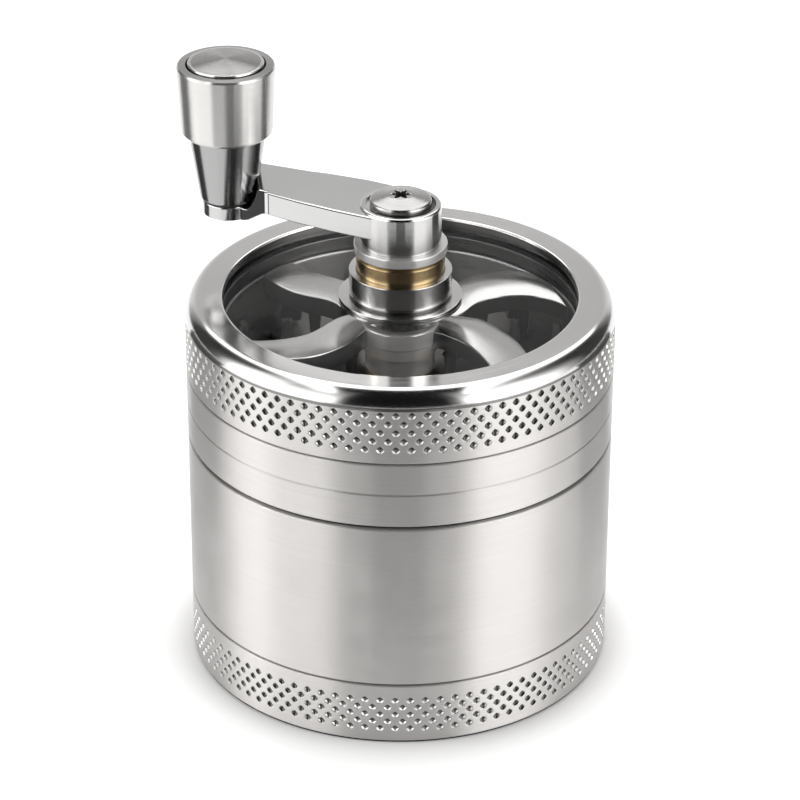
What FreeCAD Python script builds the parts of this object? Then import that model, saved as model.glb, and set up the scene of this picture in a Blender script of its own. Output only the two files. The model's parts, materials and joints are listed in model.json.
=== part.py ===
import FreeCAD, Part
import Sketcher
import math
import os

# Hand cranked spice mill.  Millimetres, +Z up.  The origin is the centre of the flat underside, on the
# mill's axis.  The mill is a stack of turned rings: base cup, storage chamber, tooth plate, grinding ring,
# lid ring and bezel.  The crank, its spindle and the rotor turn in a bush carried by the window.

Vector = FreeCAD.Vector
doc = FreeCAD.newDocument("SpiceMill")

# ------------------------------------------------------------------ driving dimensions
SIZES = [
    # outside of the stack
    ("body_radius", 31.5), ("seam_edge", 0.25), ("foot_edge", 0.6),
    ("cup_top", 9.75), ("base_seal_top", 10.05), ("chamber_top", 35.85), ("chamber_seal_top", 36.4),
    ("plate_top", 41.6), ("ring_top", 46.35), ("slip_top", 46.6), ("lid_top", 55.35),
    ("bezel_radius", 31.65), ("bezel_top", 57.75), ("bezel_flat_radius", 29.9), ("bezel_round", 1.95),
    # screw joints: plain fits at the threads' pitch
    ("male_radius", 28.7), ("female_radius", 28.9),
    # base cup
    ("cup_bore", 27.2), ("cup_floor", 1.8), ("cup_shoulder", 5.9), ("cup_cove", 1.8),
    # storage chamber and sieve
    ("chamber_bore", 28.0), ("chamber_foot", 6.2), ("chamber_foot_bore", 26.0), ("ledge_bore", 25.5),
    ("ledge_low", 11.4), ("ledge_top", 12.4), ("chamber_shoulder", 31.6),
    ("sieve_radius", 27.8), ("sieve_thick", 0.3), ("sieve_ring_bore", 26.4), ("sieve_ring_radius", 27.9),
    ("sieve_ring_high", 1.5),
    # seals
    ("seal_bore", 29.1), ("seal_radius", 31.05),
    # tooth plate
    ("plate_foot", 32.0), ("plate_foot_bore", 26.4), ("plate_boss", 27.3), ("plate_face", 45.2),
    ("plate_under", 42.2), ("magnet_radius", 4.0), ("magnet_seat", 43.4),
    ("tooth_long", 1.55), ("tooth_wide", 1.1), ("tooth_high", 4.4), ("tooth_taper", 5.0),
    ("fixed_row_one", 12.4), ("fixed_row_two", 18.5), ("fixed_row_three", 24.2),
    ("hole_row_one", 9.0), ("hole_row_two", 15.5), ("hole_row_three", 21.4),
    ("hole_small", 1.5), ("hole_large", 1.95),
    # grinding ring
    ("ring_bore", 25.9), ("ring_counterbore", 27.35), ("spigot_radius", 28.4), ("spigot_top", 52.5),
    # lid
    ("skirt_bore", 28.75), ("lid_bore", 26.1), ("lid_web", 52.8), ("window_seat", 54.8),
    ("window_low", 55.0), ("window_top", 56.6), ("window_radius", 27.4), ("window_pocket", 27.5),
    ("window_hole", 4.7), ("bezel_bore", 25.95), ("gasket_bore", 26.3),
    # bearing
    ("tail_radius", 4.6), ("tail_low", 54.0), ("bush_radius", 3.9), ("bush_bore", 3.04),
    ("flange_radius", 9.05), ("flange_top", 57.7), ("housing_radius", 7.52), ("housing_top", 61.7),
    ("pocket_radius", 6.75), ("pocket_floor", 60.2), ("collar_radius", 6.45), ("collar_top", 64.3),
    ("nut_radius", 5.6), ("nut_low", 53.95),
    # spindle and washers
    ("spindle_radius", 3.0), ("spindle_low", 49.6), ("spindle_top", 69.6), ("square_side", 4.2),
    ("hub_low", 66.0), ("thread_radius", 1.45),
    ("spring_low", 64.35), ("spring_top", 64.65), ("spring_radius", 5.9),
    ("hub_washer_low", 64.7), ("hub_washer_radius", 6.8),
    # rotor
    ("rotor_top", 53.5), ("rotor_hub", 5.9), ("rotor_low", 45.9), ("arm_top", 53.5), ("arm_low", 50.4),
    ("rotor_radius", 25.2), ("rotor_pair", 73.0), ("rotor_turn", 1.5), ("rotor_tooth_high", 4.6),
    ("rotor_screw_head", 2.8), ("rotor_magnet_radius", 3.6), ("rotor_magnet_top", 47.3), ("rotor_web", 48.7),
    # crank
    ("crank_throw", 27.92), ("crank_angle", 155.45), ("hub_radius", 5.93), ("hub_top", 72.1),
    ("hub_round", 0.85), ("plate_arm_low", 68.1), ("plate_arm_top", 71.7), ("eye_radius", 3.86),
    ("eye_low", 65.4), ("eye_top", 67.5), ("head_radius", 4.49), ("head_seat", 71.8), ("head_top", 73.6),
    ("recess_radius", 4.8), ("web_low", 69.8),
    # knob
    ("pin_radius", 2.0), ("pin_neck", 1.8), ("pin_head", 3.0), ("pin_head_low", 84.9), ("pin_head_top", 86.1),
    ("knob_bush_bore", 2.05), ("knob_bush_radius", 2.9), ("knob_low", 67.9), ("knob_joint", 77.9),
    ("knob_foot_radius", 4.19), ("knob_waist_radius", 5.68), ("knob_core_radius", 4.9), ("knob_core_top", 84.75),
    ("sleeve_low", 78.1), ("sleeve_bore", 4.95), ("sleeve_low_radius", 6.72), ("sleeve_top_radius", 7.2),
    ("sleeve_top", 88.55), ("cap_radius", 5.62), ("cap_pocket", 5.95), ("cap_seat", 86.9), ("cap_top", 89.6),
]

sheet = doc.addObject("Spreadsheet::Sheet", "Sizes")
VALUE = {}
for row, (alias, number) in enumerate(SIZES, start=1):
    sheet.set("A%d" % row, alias)
    sheet.set("B%d" % row, "%g" % number)
    sheet.setAlias("B%d" % row, alias)
    VALUE[alias] = float(number)
doc.recompute()


class Dim:
    """A length with its number and its text over the sheet's cells."""

    def __init__(self, number, text):
        self.number = float(number)
        self.text = text

    def __add__(self, other):
        o = dim(other)
        return Dim(self.number + o.number, "(%s + %s)" % (self.text, o.text))

    def __radd__(self, other):
        return dim(other) + self

    def __sub__(self, other):
        o = dim(other)
        return Dim(self.number - o.number, "(%s - %s)" % (self.text, o.text))

    def __rsub__(self, other):
        return dim(other) - self

    def __mul__(self, other):
        o = dim(other)
        return Dim(self.number * o.number, "(%s * %s)" % (self.text, o.text))

    def __rmul__(self, other):
        return dim(other) * self


def dim(x):
    return x if isinstance(x, Dim) else Dim(x, "%g" % x)


def cell(alias):
    return Dim(VALUE[alias], "Sizes." + alias)


def origin_plane(body, role):
    for feature in body.Origin.OriginFeatures:
        if feature.Role == role:
            return feature
    raise RuntimeError("no " + role)


def new_body(name):
    body = doc.addObject("PartDesign::Body", name)
    body.Label = name
    return body


def new_sketch(body, name, role="XZ_Plane", height=None):
    sketch = body.newObject("Sketcher::SketchObject", name)
    sketch.AttachmentSupport = [(origin_plane(body, role), "")]
    sketch.MapMode = "FlatFace"
    if height is not None:
        height = dim(height)
        sketch.AttachmentOffset = FreeCAD.Placement(Vector(0, 0, height.number), FreeCAD.Rotation())
        sketch.setExpression("AttachmentOffset.Base.z", height.text)
    return sketch


def fix_point(sketch, geo, pos, x, y):
    """Ties a point of the sketch to the sheet by its two distances from the origin."""
    x, y = dim(x), dim(y)
    if abs(x.number) < 1e-9:
        sketch.addConstraint(Sketcher.Constraint("PointOnObject", geo, pos, -2))
    else:
        i = sketch.addConstraint(Sketcher.Constraint("DistanceX", -1, 1, geo, pos, x.number))
        if "Sizes." in x.text:
            sketch.setExpression("Constraints[%d]" % i, x.text)
    if abs(y.number) < 1e-9:
        sketch.addConstraint(Sketcher.Constraint("PointOnObject", geo, pos, -1))
    else:
        i = sketch.addConstraint(Sketcher.Constraint("DistanceY", -1, 1, geo, pos, y.number))
        if "Sizes." in y.text:
            sketch.setExpression("Constraints[%d]" % i, y.text)


def draw(sketch, points):
    """A closed outline.  Each point is (x, y) or (x, y, radius): with a radius, the stretch to the next
    point is an arc that bulges to the right of the direction of travel if the radius is positive, else to
    the left.  The word dome instead of a radius makes an arc whose centre lies on the Z axis."""
    n = len(points)
    for k in range(n):
        a, b = points[k], points[(k + 1) % n]
        ax, ay, bx, by = dim(a[0]).number, dim(a[1]).number, dim(b[0]).number, dim(b[1]).number
        if len(a) == 3:
            if a[2] == "dome":
                rise = abs(by - ay)
                rad, side = (ax * ax + rise * rise) / (2 * rise), 1.0
            else:
                radius = dim(a[2])
                rad, side = abs(radius.number), (1.0 if radius.number > 0 else -1.0)
            mx, my = (ax + bx) / 2, (ay + by) / 2
            dx, dy = bx - ax, by - ay
            chord = math.hypot(dx, dy)
            lift = math.sqrt(max(rad * rad - chord * chord / 4, 0.0))
            nx, ny = dy / chord, -dx / chord            # to the right of travel
            cx, cy = mx - side * nx * lift, my - side * ny * lift
            px, py = cx + side * nx * rad, cy + side * ny * rad
            first, last = (Vector(ax, ay, 0), Vector(bx, by, 0)) if side > 0 else (Vector(bx, by, 0), Vector(ax, ay, 0))
            sketch.addGeometry(Part.Arc(first, Vector(px, py, 0), last), False)
        else:
            sketch.addGeometry(Part.LineSegment(Vector(ax, ay, 0), Vector(bx, by, 0)), False)

    def ends(k):
        """Numbers of the start and end point of stretch k, in the direction of travel."""
        g = sketch.Geometry[k]
        a = points[k]
        ax, ay = dim(a[0]).number, dim(a[1]).number
        s = g.StartPoint
        return (1, 2) if math.hypot(s.x - ax, s.y - ay) < 1e-6 else (2, 1)

    for k in range(n):
        nxt = (k + 1) % n
        sketch.addConstraint(Sketcher.Constraint("Coincident", k, ends(k)[1], nxt, ends(nxt)[0]))
    for k in range(n):
        fix_point(sketch, k, ends(k)[0], points[k][0], points[k][1])
    for k in range(n):
        if len(points[k]) == 3 and points[k][2] == "dome":
            sketch.addConstraint(Sketcher.Constraint("PointOnObject", k, 3, -2))
        elif len(points[k]) == 3:
            r = dim(points[k][2])
            i = sketch.addConstraint(Sketcher.Constraint("Radius", k, abs(r.number)))
            if "Sizes." in r.text and r.number > 0:
                sketch.setExpression("Constraints[%d]" % i, r.text)


def turned(name, points):
    """A turned piece: the outline in the XZ plane, (radius, height), turned about Z."""
    body = new_body(name)
    sketch = new_sketch(body, name + "_outline")
    draw(sketch, points)
    doc.recompute()
    rev = body.newObject("PartDesign::Revolution", name + "_turned")
    rev.Profile = sketch
    rev.ReferenceAxis = (sketch, ["V_Axis"])
    rev.Angle = 360.0
    sketch.Visibility = False
    doc.recompute()
    return body


def circle(sketch, x, y, radius):
    x, y, radius = dim(x), dim(y), dim(radius)
    g = sketch.addGeometry(Part.Circle(Vector(x.number, y.number, 0), Vector(0, 0, 1), radius.number), False)
    i = sketch.addConstraint(Sketcher.Constraint("Radius", g, radius.number))
    if "Sizes." in radius.text:
        sketch.setExpression("Constraints[%d]" % i, radius.text)
    fix_point(sketch, g, 3, x, y)


def solid_volume(body):
    return body.Shape.Volume


def pocket(body, sketch, name, depth=None, through=False, both=False, reverse=False):
    """Cuts the sketch out of the body and makes sure that something is really cut."""
    before = solid_volume(body)
    feature = body.newObject("PartDesign::Pocket", name)
    feature.Profile = sketch
    if through:
        feature.Type = "ThroughAll"
    else:
        depth = dim(depth)
        feature.Length = depth.number
        if "Sizes." in depth.text:
            feature.setExpression("Length", depth.text)
    if both:
        feature.SideType = "Symmetric"
    feature.Reversed = bool(reverse)
    sketch.Visibility = False
    doc.recompute()
    if not solid_volume(body) < before - 1e-6:
        raise RuntimeError("pocket %s cuts nothing" % name)
    return feature


def pad(body, sketch, name, length, taper=None, reverse=False):
    before = body.Shape.Volume if body.Shape and not body.Shape.isNull() else 0.0
    feature = body.newObject("PartDesign::Pad", name)
    feature.Profile = sketch
    length = dim(length)
    feature.Length = length.number
    if "Sizes." in length.text:
        feature.setExpression("Length", length.text)
    feature.Reversed = bool(reverse)
    if taper is not None:
        feature.TaperAngle = -abs(dim(taper).number)
        feature.setExpression("TaperAngle", "-" + dim(taper).text)
    sketch.Visibility = False
    doc.recompute()
    if not solid_volume(body) > before + 1e-6:
        raise RuntimeError("pad %s adds nothing" % name)
    return feature


def around(body, features, name, count):
    """Repeats features evenly about the Z axis of the body."""
    before = solid_volume(body)
    pattern = body.newObject("PartDesign::PolarPattern", name)
    pattern.Originals = features
    pattern.Axis = (origin_plane(body, "Z_Axis"), [""])
    pattern.Angle = 360.0
    pattern.Occurrences = count
    body.Tip = pattern
    doc.recompute()
    if abs(solid_volume(body) - before) < 1e-6:
        raise RuntimeError("pattern %s changes nothing" % name)
    return pattern


def tooth_sketch(body, name, row, angle, height):
    """Diamond outline of one tooth on a row's radius."""
    row = dim(row)
    t = math.radians(angle)
    sketch = new_sketch(body, name, "XY_Plane", height)
    points = []
    # the corners lie along the radius (half width) and across it (half length)
    for along, across in ((1, 0), (0, 1), (-1, 0), (0, -1)):
        rad = row + along * cell("tooth_wide")
        side = across * cell("tooth_long")
        c, s = round(math.cos(t), 9), round(math.sin(t), 9)
        points.append((rad * c - side * s, rad * s + side * c))
    draw(sketch, points)
    return sketch


R = cell("body_radius")
E = cell("seam_edge")

# ------------------------------------------------------------------ base cup
H = cell("cup_top")
turned("base_cup", [
    (0, 0), (R - cell("foot_edge"), 0, 0.75), (R, cell("foot_edge")), (R, H - E), (R - E, H),
    (cell("female_radius"), H), (cell("female_radius"), cell("cup_shoulder")),
    (cell("cup_bore"), cell("cup_shoulder")), (cell("cup_bore"), cell("cup_floor") + cell("cup_cove"), -2.2),
    (cell("cup_bore") - cell("cup_cove"), cell("cup_floor")), (0, cell("cup_floor")),
])
turned("base_seal", [
    (cell("seal_bore"), H), (cell("seal_radius"), H), (cell("seal_radius"), cell("base_seal_top")),
    (cell("seal_bore"), cell("base_seal_top")),
])

# ------------------------------------------------------------------ storage chamber and sieve
L, H = cell("base_seal_top"), cell("chamber_top")
M = cell("male_radius")
turned("storage_chamber", [
    (cell("chamber_foot_bore"), cell("chamber_foot")), (M - 0.3, cell("chamber_foot")),
    (M, cell("chamber_foot") + 0.3), (M, L), (R - E, L), (R, L + E), (R, H - E), (R - E, H),
    (cell("female_radius"), H), (cell("female_radius"), cell("chamber_shoulder")),
    (cell("chamber_bore"), cell("chamber_shoulder")), (cell("chamber_bore"), cell("ledge_top")),
    (cell("ledge_bore"), cell("ledge_top")), (cell("ledge_bore"), cell("ledge_low")),
    (cell("chamber_foot_bore"), cell("ledge_low")),
])
Z = cell("ledge_top")
turned("sieve_mesh", [(0, Z), (cell("sieve_radius"), Z), (cell("sieve_radius"), Z + cell("sieve_thick")),
                      (0, Z + cell("sieve_thick"))])
Z = Z + cell("sieve_thick")
turned("sieve_ring", [
    (cell("sieve_ring_bore"), Z), (cell("sieve_ring_radius"), Z),
    (cell("sieve_ring_radius"), Z + cell("sieve_ring_high")),
    (cell("sieve_ring_bore") + 0.3, Z + cell("sieve_ring_high")),
    (cell("sieve_ring_bore"), Z + cell("sieve_ring_high") - 0.3),
])
turned("chamber_seal", [
    (cell("seal_bore"), H), (cell("seal_radius"), H), (cell("seal_radius"), cell("chamber_seal_top")),
    (cell("seal_bore"), cell("chamber_seal_top")),
])

# ------------------------------------------------------------------ tooth plate
L, H = cell("chamber_seal_top"), cell("plate_top")
plate = turned("tooth_plate", [
    (cell("plate_foot_bore"), cell("plate_foot")), (M - 0.3, cell("plate_foot")),
    (M, cell("plate_foot") + 0.3), (M, L), (R - E, L), (R, L + E), (R, H - E), (R - E, H),
    (cell("plate_boss"), H), (cell("plate_boss"), cell("plate_face") - 0.2),
    (cell("plate_boss") - 0.2, cell("plate_face")), (cell("magnet_radius"), cell("plate_face")),
    (cell("magnet_radius"), cell("magnet_seat")), (0, cell("magnet_seat")), (0, cell("plate_under")),
    (cell("plate_foot_bore") - 0.8, cell("plate_under")), (cell("plate_foot_bore"), cell("plate_under") - 0.8),
])
for tag, row, count, first in (("one", "fixed_row_one", 6, 0.0), ("two", "fixed_row_two", 8, 22.5),
                               ("three", "fixed_row_three", 12, 15.0)):
    s = tooth_sketch(plate, "fixed_tooth_%s_outline" % tag, cell(row), first, cell("plate_face"))
    f = pad(plate, s, "fixed_tooth_" + tag, cell("tooth_high"), taper=cell("tooth_taper"))
    around(plate, [f], "fixed_teeth_" + tag, count)
for tag, row, hole, count, first in (("one", "hole_row_one", "hole_small", 6, 30.0),
                                     ("two", "hole_row_two", "hole_large", 8, 0.0),
                                     ("three", "hole_row_three", "hole_large", 12, 0.0)):
    s = new_sketch(plate, "drop_hole_%s_outline" % tag, "XY_Plane", cell("plate_face"))
    c, d = round(math.cos(math.radians(first)), 9), round(math.sin(math.radians(first)), 9)
    circle(s, cell(row) * c, cell(row) * d, cell(hole))
    f = pocket(plate, s, "drop_hole_" + tag, depth=cell("plate_face") - cell("plate_under") + 1.0)
    around(plate, [f], "drop_holes_" + tag, count)
turned("plate_magnet", [
    (0, cell("magnet_seat")), (cell("magnet_radius"), cell("magnet_seat")),
    (cell("magnet_radius"), cell("plate_face") - 0.2), (cell("magnet_radius") - 0.2, cell("plate_face")),
    (0, cell("plate_face")),
])

# ------------------------------------------------------------------ grinding ring and slip ring
L, H = cell("plate_top"), cell("ring_top")
turned("grinding_ring", [
    (cell("ring_counterbore"), L), (R - E, L), (R, L + E), (R, H - E), (R - E, H), (cell("spigot_radius"), H),
    (cell("spigot_radius"), cell("spigot_top") - 0.3), (cell("spigot_radius") - 0.3, cell("spigot_top")),
    (cell("ring_bore") + 0.3, cell("spigot_top")), (cell("ring_bore"), cell("spigot_top") - 0.3),
    (cell("ring_bore"), cell("plate_face") + 0.05), (cell("ring_counterbore"), cell("plate_face") + 0.05),
])
turned("slip_ring", [
    (cell("skirt_bore"), H), (cell("seal_radius"), H), (cell("seal_radius"), cell("slip_top")),
    (cell("skirt_bore"), cell("slip_top")),
])

# ------------------------------------------------------------------ lid
L, H = cell("slip_top"), cell("lid_top")
turned("lid_ring", [
    (cell("skirt_bore"), L), (R - E, L), (R, L + E), (R, H - 0.2), (R - 0.2, H), (cell("window_pocket"), H),
    (cell("window_pocket"), cell("window_seat")), (cell("lid_bore"), cell("window_seat")),
    (cell("lid_bore"), cell("lid_web")), (cell("skirt_bore"), cell("lid_web")),
])
B = cell("bezel_radius")
turned("bezel", [
    (cell("window_pocket"), H), (B - 0.35, H), (B, H + 0.25), (B, H + 0.45, cell("bezel_round")),
    (cell("bezel_flat_radius"), cell("bezel_top")), (cell("bezel_bore") + 0.2, cell("bezel_top")),
    (cell("bezel_bore"), cell("bezel_top") - 0.2), (cell("bezel_bore"), cell("window_top")),
    (cell("window_pocket"), cell("window_top")),
])
turned("window_gasket", [
    (cell("gasket_bore"), cell("window_seat")), (cell("window_radius"), cell("window_seat")),
    (cell("window_radius"), cell("window_low")), (cell("gasket_bore"), cell("window_low")),
])
turned("window", [
    (cell("window_hole"), cell("window_low")), (cell("window_radius"), cell("window_low")),
    (cell("window_radius"), cell("window_top")), (cell("window_hole"), cell("window_top")),
])

# ------------------------------------------------------------------ bearing in the window
F, W, T = cell("flange_top"), cell("window_top"), cell("housing_top")
HR, FR = cell("housing_radius"), cell("flange_radius")
turned("bearing_housing", [
    (cell("bush_radius"), cell("tail_low")), (cell("tail_radius"), cell("tail_low")),
    (cell("tail_radius"), W), (FR - 0.95, W), (FR, W + 0.6), (FR, F - 0.2), (FR - 0.2, F),
    (HR + 0.2, F), (HR - 0.15, F + 0.2), (HR - 0.15, F + 0.4), (HR, F + 0.55), (HR, T - 0.15),
    (HR - 0.15, T), (HR - 0.3, T), (cell("pocket_radius"), T - 0.7), (cell("pocket_radius"), cell("pocket_floor")),
    (cell("bush_radius"), cell("pocket_floor")),
])
nut = turned("bearing_nut", [
    (cell("tail_radius"), cell("nut_low")), (cell("nut_radius") - 0.2, cell("nut_low")),
    (cell("nut_radius"), cell("nut_low") + 0.2), (cell("nut_radius"), cell("window_low")),
    (cell("tail_radius"), cell("window_low")),
])
turned("brass_bush", [
    (cell("bush_bore"), cell("tail_low")), (cell("bush_radius"), cell("tail_low")),
    (cell("bush_radius"), cell("pocket_floor")), (cell("collar_radius"), cell("pocket_floor")),
    (cell("collar_radius"), cell("collar_top") - 0.3), (cell("collar_radius") - 0.3, cell("collar_top")),
    (cell("bush_bore"), cell("collar_top")),
])

# ------------------------------------------------------------------ washers on the spindle
turned("spring_washer", [
    (3.1, cell("spring_low")), (cell("spring_radius"), cell("spring_low")),
    (cell("spring_radius"), cell("spring_top")), (3.1, cell("spring_top")),
])
turned("hub_washer", [
    (3.05, cell("hub_washer_low")), (cell("hub_washer_radius") - 0.2, cell("hub_washer_low")),
    (cell("hub_washer_radius"), cell("hub_washer_low") + 0.2), (cell("hub_washer_radius"), cell("hub_low") - 0.15),
    (cell("hub_washer_radius") - 0.15, cell("hub_low")), (3.05, cell("hub_low")),
])
turned("thrust_washer", [
    (3.05, cell("rotor_top")), (4.5, cell("rotor_top")), (4.5, cell("rotor_top") + 0.35),
    (3.05, cell("rotor_top") + 0.35),
])

# ------------------------------------------------------------------ spindle: round shaft, a square at each end
SR = cell("spindle_radius")
spindle = turned("spindle", [(0, cell("rotor_top")), (SR, cell("rotor_top")), (SR, cell("hub_low")),
                             (0, cell("hub_low"))])
half = 0.5 * cell("square_side")
for tag, z, reverse, length in (("upper", cell("hub_low"), False, cell("spindle_top") - cell("hub_low")),
                                ("lower", cell("rotor_top"), True, cell("rotor_top") - cell("spindle_low"))):
    s = new_sketch(spindle, "square_%s_outline" % tag, "XY_Plane", z)
    draw(s, [(-1 * half, -1 * half), (half, -1 * half), (half, half), (-1 * half, half)])
    pad(spindle, s, "square_" + tag, length, reverse=reverse)
for tag, z, reverse in (("upper", cell("spindle_top"), False), ("lower", cell("spindle_low"), True)):
    s = new_sketch(spindle, "thread_%s_outline" % tag, "XY_Plane", z)
    circle(s, 0, 0, cell("thread_radius"))
    pocket(spindle, s, "thread_" + tag, depth=7.2 if tag == "upper" else 5.2, reverse=reverse)

# ------------------------------------------------------------------ rotor: hub, four swept arms in two pairs, teeth
RH, RT, RL = cell("rotor_hub"), cell("rotor_top"), cell("rotor_low")
rotor = turned("rotor", [
    (cell("rotor_magnet_radius"), RL), (RH - 0.5, RL), (RH - 0.2, RL + 0.3), (RH - 0.2, 48.9), (RH - 0.6, 49.1),
    (RH - 0.6, cell("arm_low") + 0.2), (RH, cell("arm_low") + 0.5), (RH, RT - 0.2), (RH - 0.2, RT), (0, RT),
    (0, cell("rotor_web")), (cell("rotor_magnet_radius"), cell("rotor_web")),
])
# edges of one arm, as (radius, degrees from the arm's own middle line at mid radius)
TRAIL = [(4.6, -52.0), (7.0, -37.0), (9.6, -25.5), (11.2, -18.5), (13.2, -14.4), (15.8, -13.4), (19.2, -16.0),
         (21.7, -20.0), (23.7, -25.0), (25.2, -30.0)]
LEAD = [(25.2, -4.5), (23.4, 0.2), (21.1, 4.8), (18.3, 9.6), (15.3, 14.0), (13.0, 17.0), (10.9, 21.5), (9.0, 28.0),
        (6.8, 40.0), (4.6, 56.0)]


def polar(points, turn, scale):
    return [Vector(scale * r * math.cos(math.radians(a + turn)), scale * r * math.sin(math.radians(a + turn)), 0)
            for r, a in points]


arms = []
scale = VALUE["rotor_radius"] / 25.2
for tag, side in (("a", 0.5), ("b", -0.5)):
    middle = VALUE["rotor_turn"] + side * VALUE["rotor_pair"]
    s = new_sketch(rotor, "arm_%s_outline" % tag, "XY_Plane", cell("arm_low"))
    trail, lead = polar(TRAIL, middle, scale), polar(LEAD, middle, scale)
    tip = polar([(25.2, -17.0)], middle, scale)[0]
    root = polar([(3.2, 2.0)], middle, scale)[0]
    one = Part.BSplineCurve()
    one.interpolate(trail)
    two = Part.BSplineCurve()
    two.interpolate(lead)
    s.addGeometry(one, False)
    s.addGeometry(Part.Arc(trail[-1], tip, lead[0]), False)
    s.addGeometry(two, False)
    s.addGeometry(Part.LineSegment(lead[-1], root), False)
    s.addGeometry(Part.LineSegment(root, trail[0]), False)
    doc.recompute()
    arms.append(pad(rotor, s, "arm_" + tag, cell("arm_top") - cell("arm_low")))
for tag, side in (("a", 0.5), ("b", -0.5)):
    middle = VALUE["rotor_turn"] + side * VALUE["rotor_pair"]
    # each tooth stands on the arm's middle line at its own radius
    for name, row, off in (("inner", "hole_row_one", -0.5), ("middle", "hole_row_two", 0.3),
                           ("outer", "hole_row_three", -8.0)):
        s = tooth_sketch(rotor, "tooth_%s_%s_outline" % (name, tag), cell(row), middle + off, cell("arm_low"))
        arms.append(pad(rotor, s, "tooth_%s_%s" % (name, tag), cell("rotor_tooth_high"), taper=cell("tooth_taper"),
                        reverse=True))
around(rotor, arms, "arms_and_teeth", 2)
s = new_sketch(rotor, "drive_square_outline", "XY_Plane", RT)
draw(s, [(-1 * half, -1 * half), (half, -1 * half), (half, half), (-1 * half, half)])
pocket(rotor, s, "drive_square", depth=RT - cell("spindle_low"))
s = new_sketch(rotor, "screw_hole_outline", "XY_Plane", cell("spindle_low"))
circle(s, 0, 0, cell("thread_radius"))
pocket(rotor, s, "screw_hole", depth=cell("spindle_low") - cell("rotor_web"))

turned("rotor_screw", [
    (0, cell("rotor_magnet_top")), (cell("rotor_screw_head") - 0.2, cell("rotor_magnet_top")),
    (cell("rotor_screw_head"), cell("rotor_magnet_top") + 0.2), (cell("rotor_screw_head"), cell("rotor_web")),
    (cell("thread_radius"), cell("rotor_web")), (cell("thread_radius"), cell("spindle_low") + 4.8),
    (0, cell("spindle_low") + 4.8),
])
turned("rotor_magnet", [
    (0, RL), (cell("rotor_magnet_radius") - 0.15, RL), (cell("rotor_magnet_radius"), RL + 0.15),
    (cell("rotor_magnet_radius"), cell("rotor_magnet_top")), (0, cell("rotor_magnet_top")),
])

# ------------------------------------------------------------------ crank: made along +X, then turned to its rest place
crank = new_body("crank_arm")
T_, E_ = cell("crank_throw"), cell("eye_radius")
AL, AT = cell("plate_arm_low"), cell("plate_arm_top")
EL, ET = cell("eye_low"), cell("eye_top")
# plan of arm, neck and eye
edge = [(2.0, 5.55), (8.0, 5.42), (14.0, 4.95), (20.0, 4.1), (22.3, 3.35), (24.9, 2.42)]
upper = [Vector(x, y, 0) for x, y in edge[:4]]
s = new_sketch(crank, "arm_plan", "XY_Plane", EL)
ex = T_.number
join = math.sqrt(VALUE["eye_radius"] ** 2 - 2.42 ** 2)
for sign in (1, -1):
    side = Part.BSplineCurve()
    side.interpolate([Vector(v.x, sign * v.y, 0) for v in upper])
    s.addGeometry(side, False)
    s.addGeometry(Part.LineSegment(Vector(20.0, sign * 4.1, 0), Vector(22.3, sign * 3.35, 0)), False)
    s.addGeometry(Part.LineSegment(Vector(22.3, sign * 3.35, 0), Vector(ex - join, sign * 2.42, 0)), False)
s.addGeometry(Part.Arc(Vector(ex - join, 2.42, 0), Vector(ex + E_.number, 0, 0), Vector(ex - join, -2.42, 0)), False)
s.addGeometry(Part.LineSegment(Vector(2.0, 5.55, 0), Vector(2.0, -5.55, 0)), False)
doc.recompute()
pad(crank, s, "arm_blank", AT - EL)
# side view: the eye lies lower than the arm, and the neck runs down to it in an S
top_s = [Vector(20.9, AT.number, 0), Vector(21.75, 71.4, 0), Vector(22.35, 70.55, 0), Vector(22.8, 69.3, 0),
         Vector(23.2, 68.2, 0), Vector(23.6, 67.68, 0), Vector(24.1, ET.number, 0)]
s = new_sketch(crank, "above_eye", "XZ_Plane")
curve = Part.BSplineCurve()
curve.interpolate(top_s)
s.addGeometry(curve, False)
s.addGeometry(Part.LineSegment(top_s[-1], Vector(34.0, ET.number, 0)), False)
s.addGeometry(Part.LineSegment(Vector(34.0, ET.number, 0), Vector(34.0, 74.0, 0)), False)
s.addGeometry(Part.LineSegment(Vector(34.0, 74.0, 0), Vector(20.9, 74.0, 0)), False)
s.addGeometry(Part.LineSegment(Vector(20.9, 74.0, 0), top_s[0]), False)
doc.recompute()
pocket(crank, s, "step_above_eye", depth=30.0, both=True)
low_s = [Vector(19.3, AL.number, 0), Vector(20.6, 67.75, 0), Vector(21.9, 66.85, 0), Vector(23.2, 65.95, 0),
         Vector(24.9, EL.number, 0)]
s = new_sketch(crank, "below_arm", "XZ_Plane")
curve = Part.BSplineCurve()
curve.interpolate(low_s)
s.addGeometry(curve, False)
s.addGeometry(Part.LineSegment(low_s[-1], Vector(24.9, 64.0, 0)), False)
s.addGeometry(Part.LineSegment(Vector(24.9, 64.0, 0), Vector(0.0, 64.0, 0)), False)
s.addGeometry(Part.LineSegment(Vector(0.0, 64.0, 0), Vector(0.0, AL.number, 0)), False)
s.addGeometry(Part.LineSegment(Vector(0.0, AL.number, 0), low_s[0]), False)
doc.recompute()
pocket(crank, s, "space_below_arm", depth=30.0, both=True)
s = new_sketch(crank, "hub_outline")
draw(s, [(0, cell("hub_low")), (cell("hub_radius"), cell("hub_low")),
         (cell("hub_radius"), cell("hub_top") - cell("hub_round"), cell("hub_round")),
         (cell("hub_radius") - cell("hub_round"), cell("hub_top")), (0, cell("hub_top"))])
doc.recompute()
before = crank.Shape.Volume
hub = crank.newObject("PartDesign::Revolution", "hub")
hub.Profile = s
hub.ReferenceAxis = (s, ["V_Axis"])
hub.Angle = 360.0
s.Visibility = False
doc.recompute()
if not crank.Shape.Volume > before + 1.0:
    raise RuntimeError("the hub adds nothing")
s = new_sketch(crank, "hub_square_outline", "XY_Plane", cell("web_low"))
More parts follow.
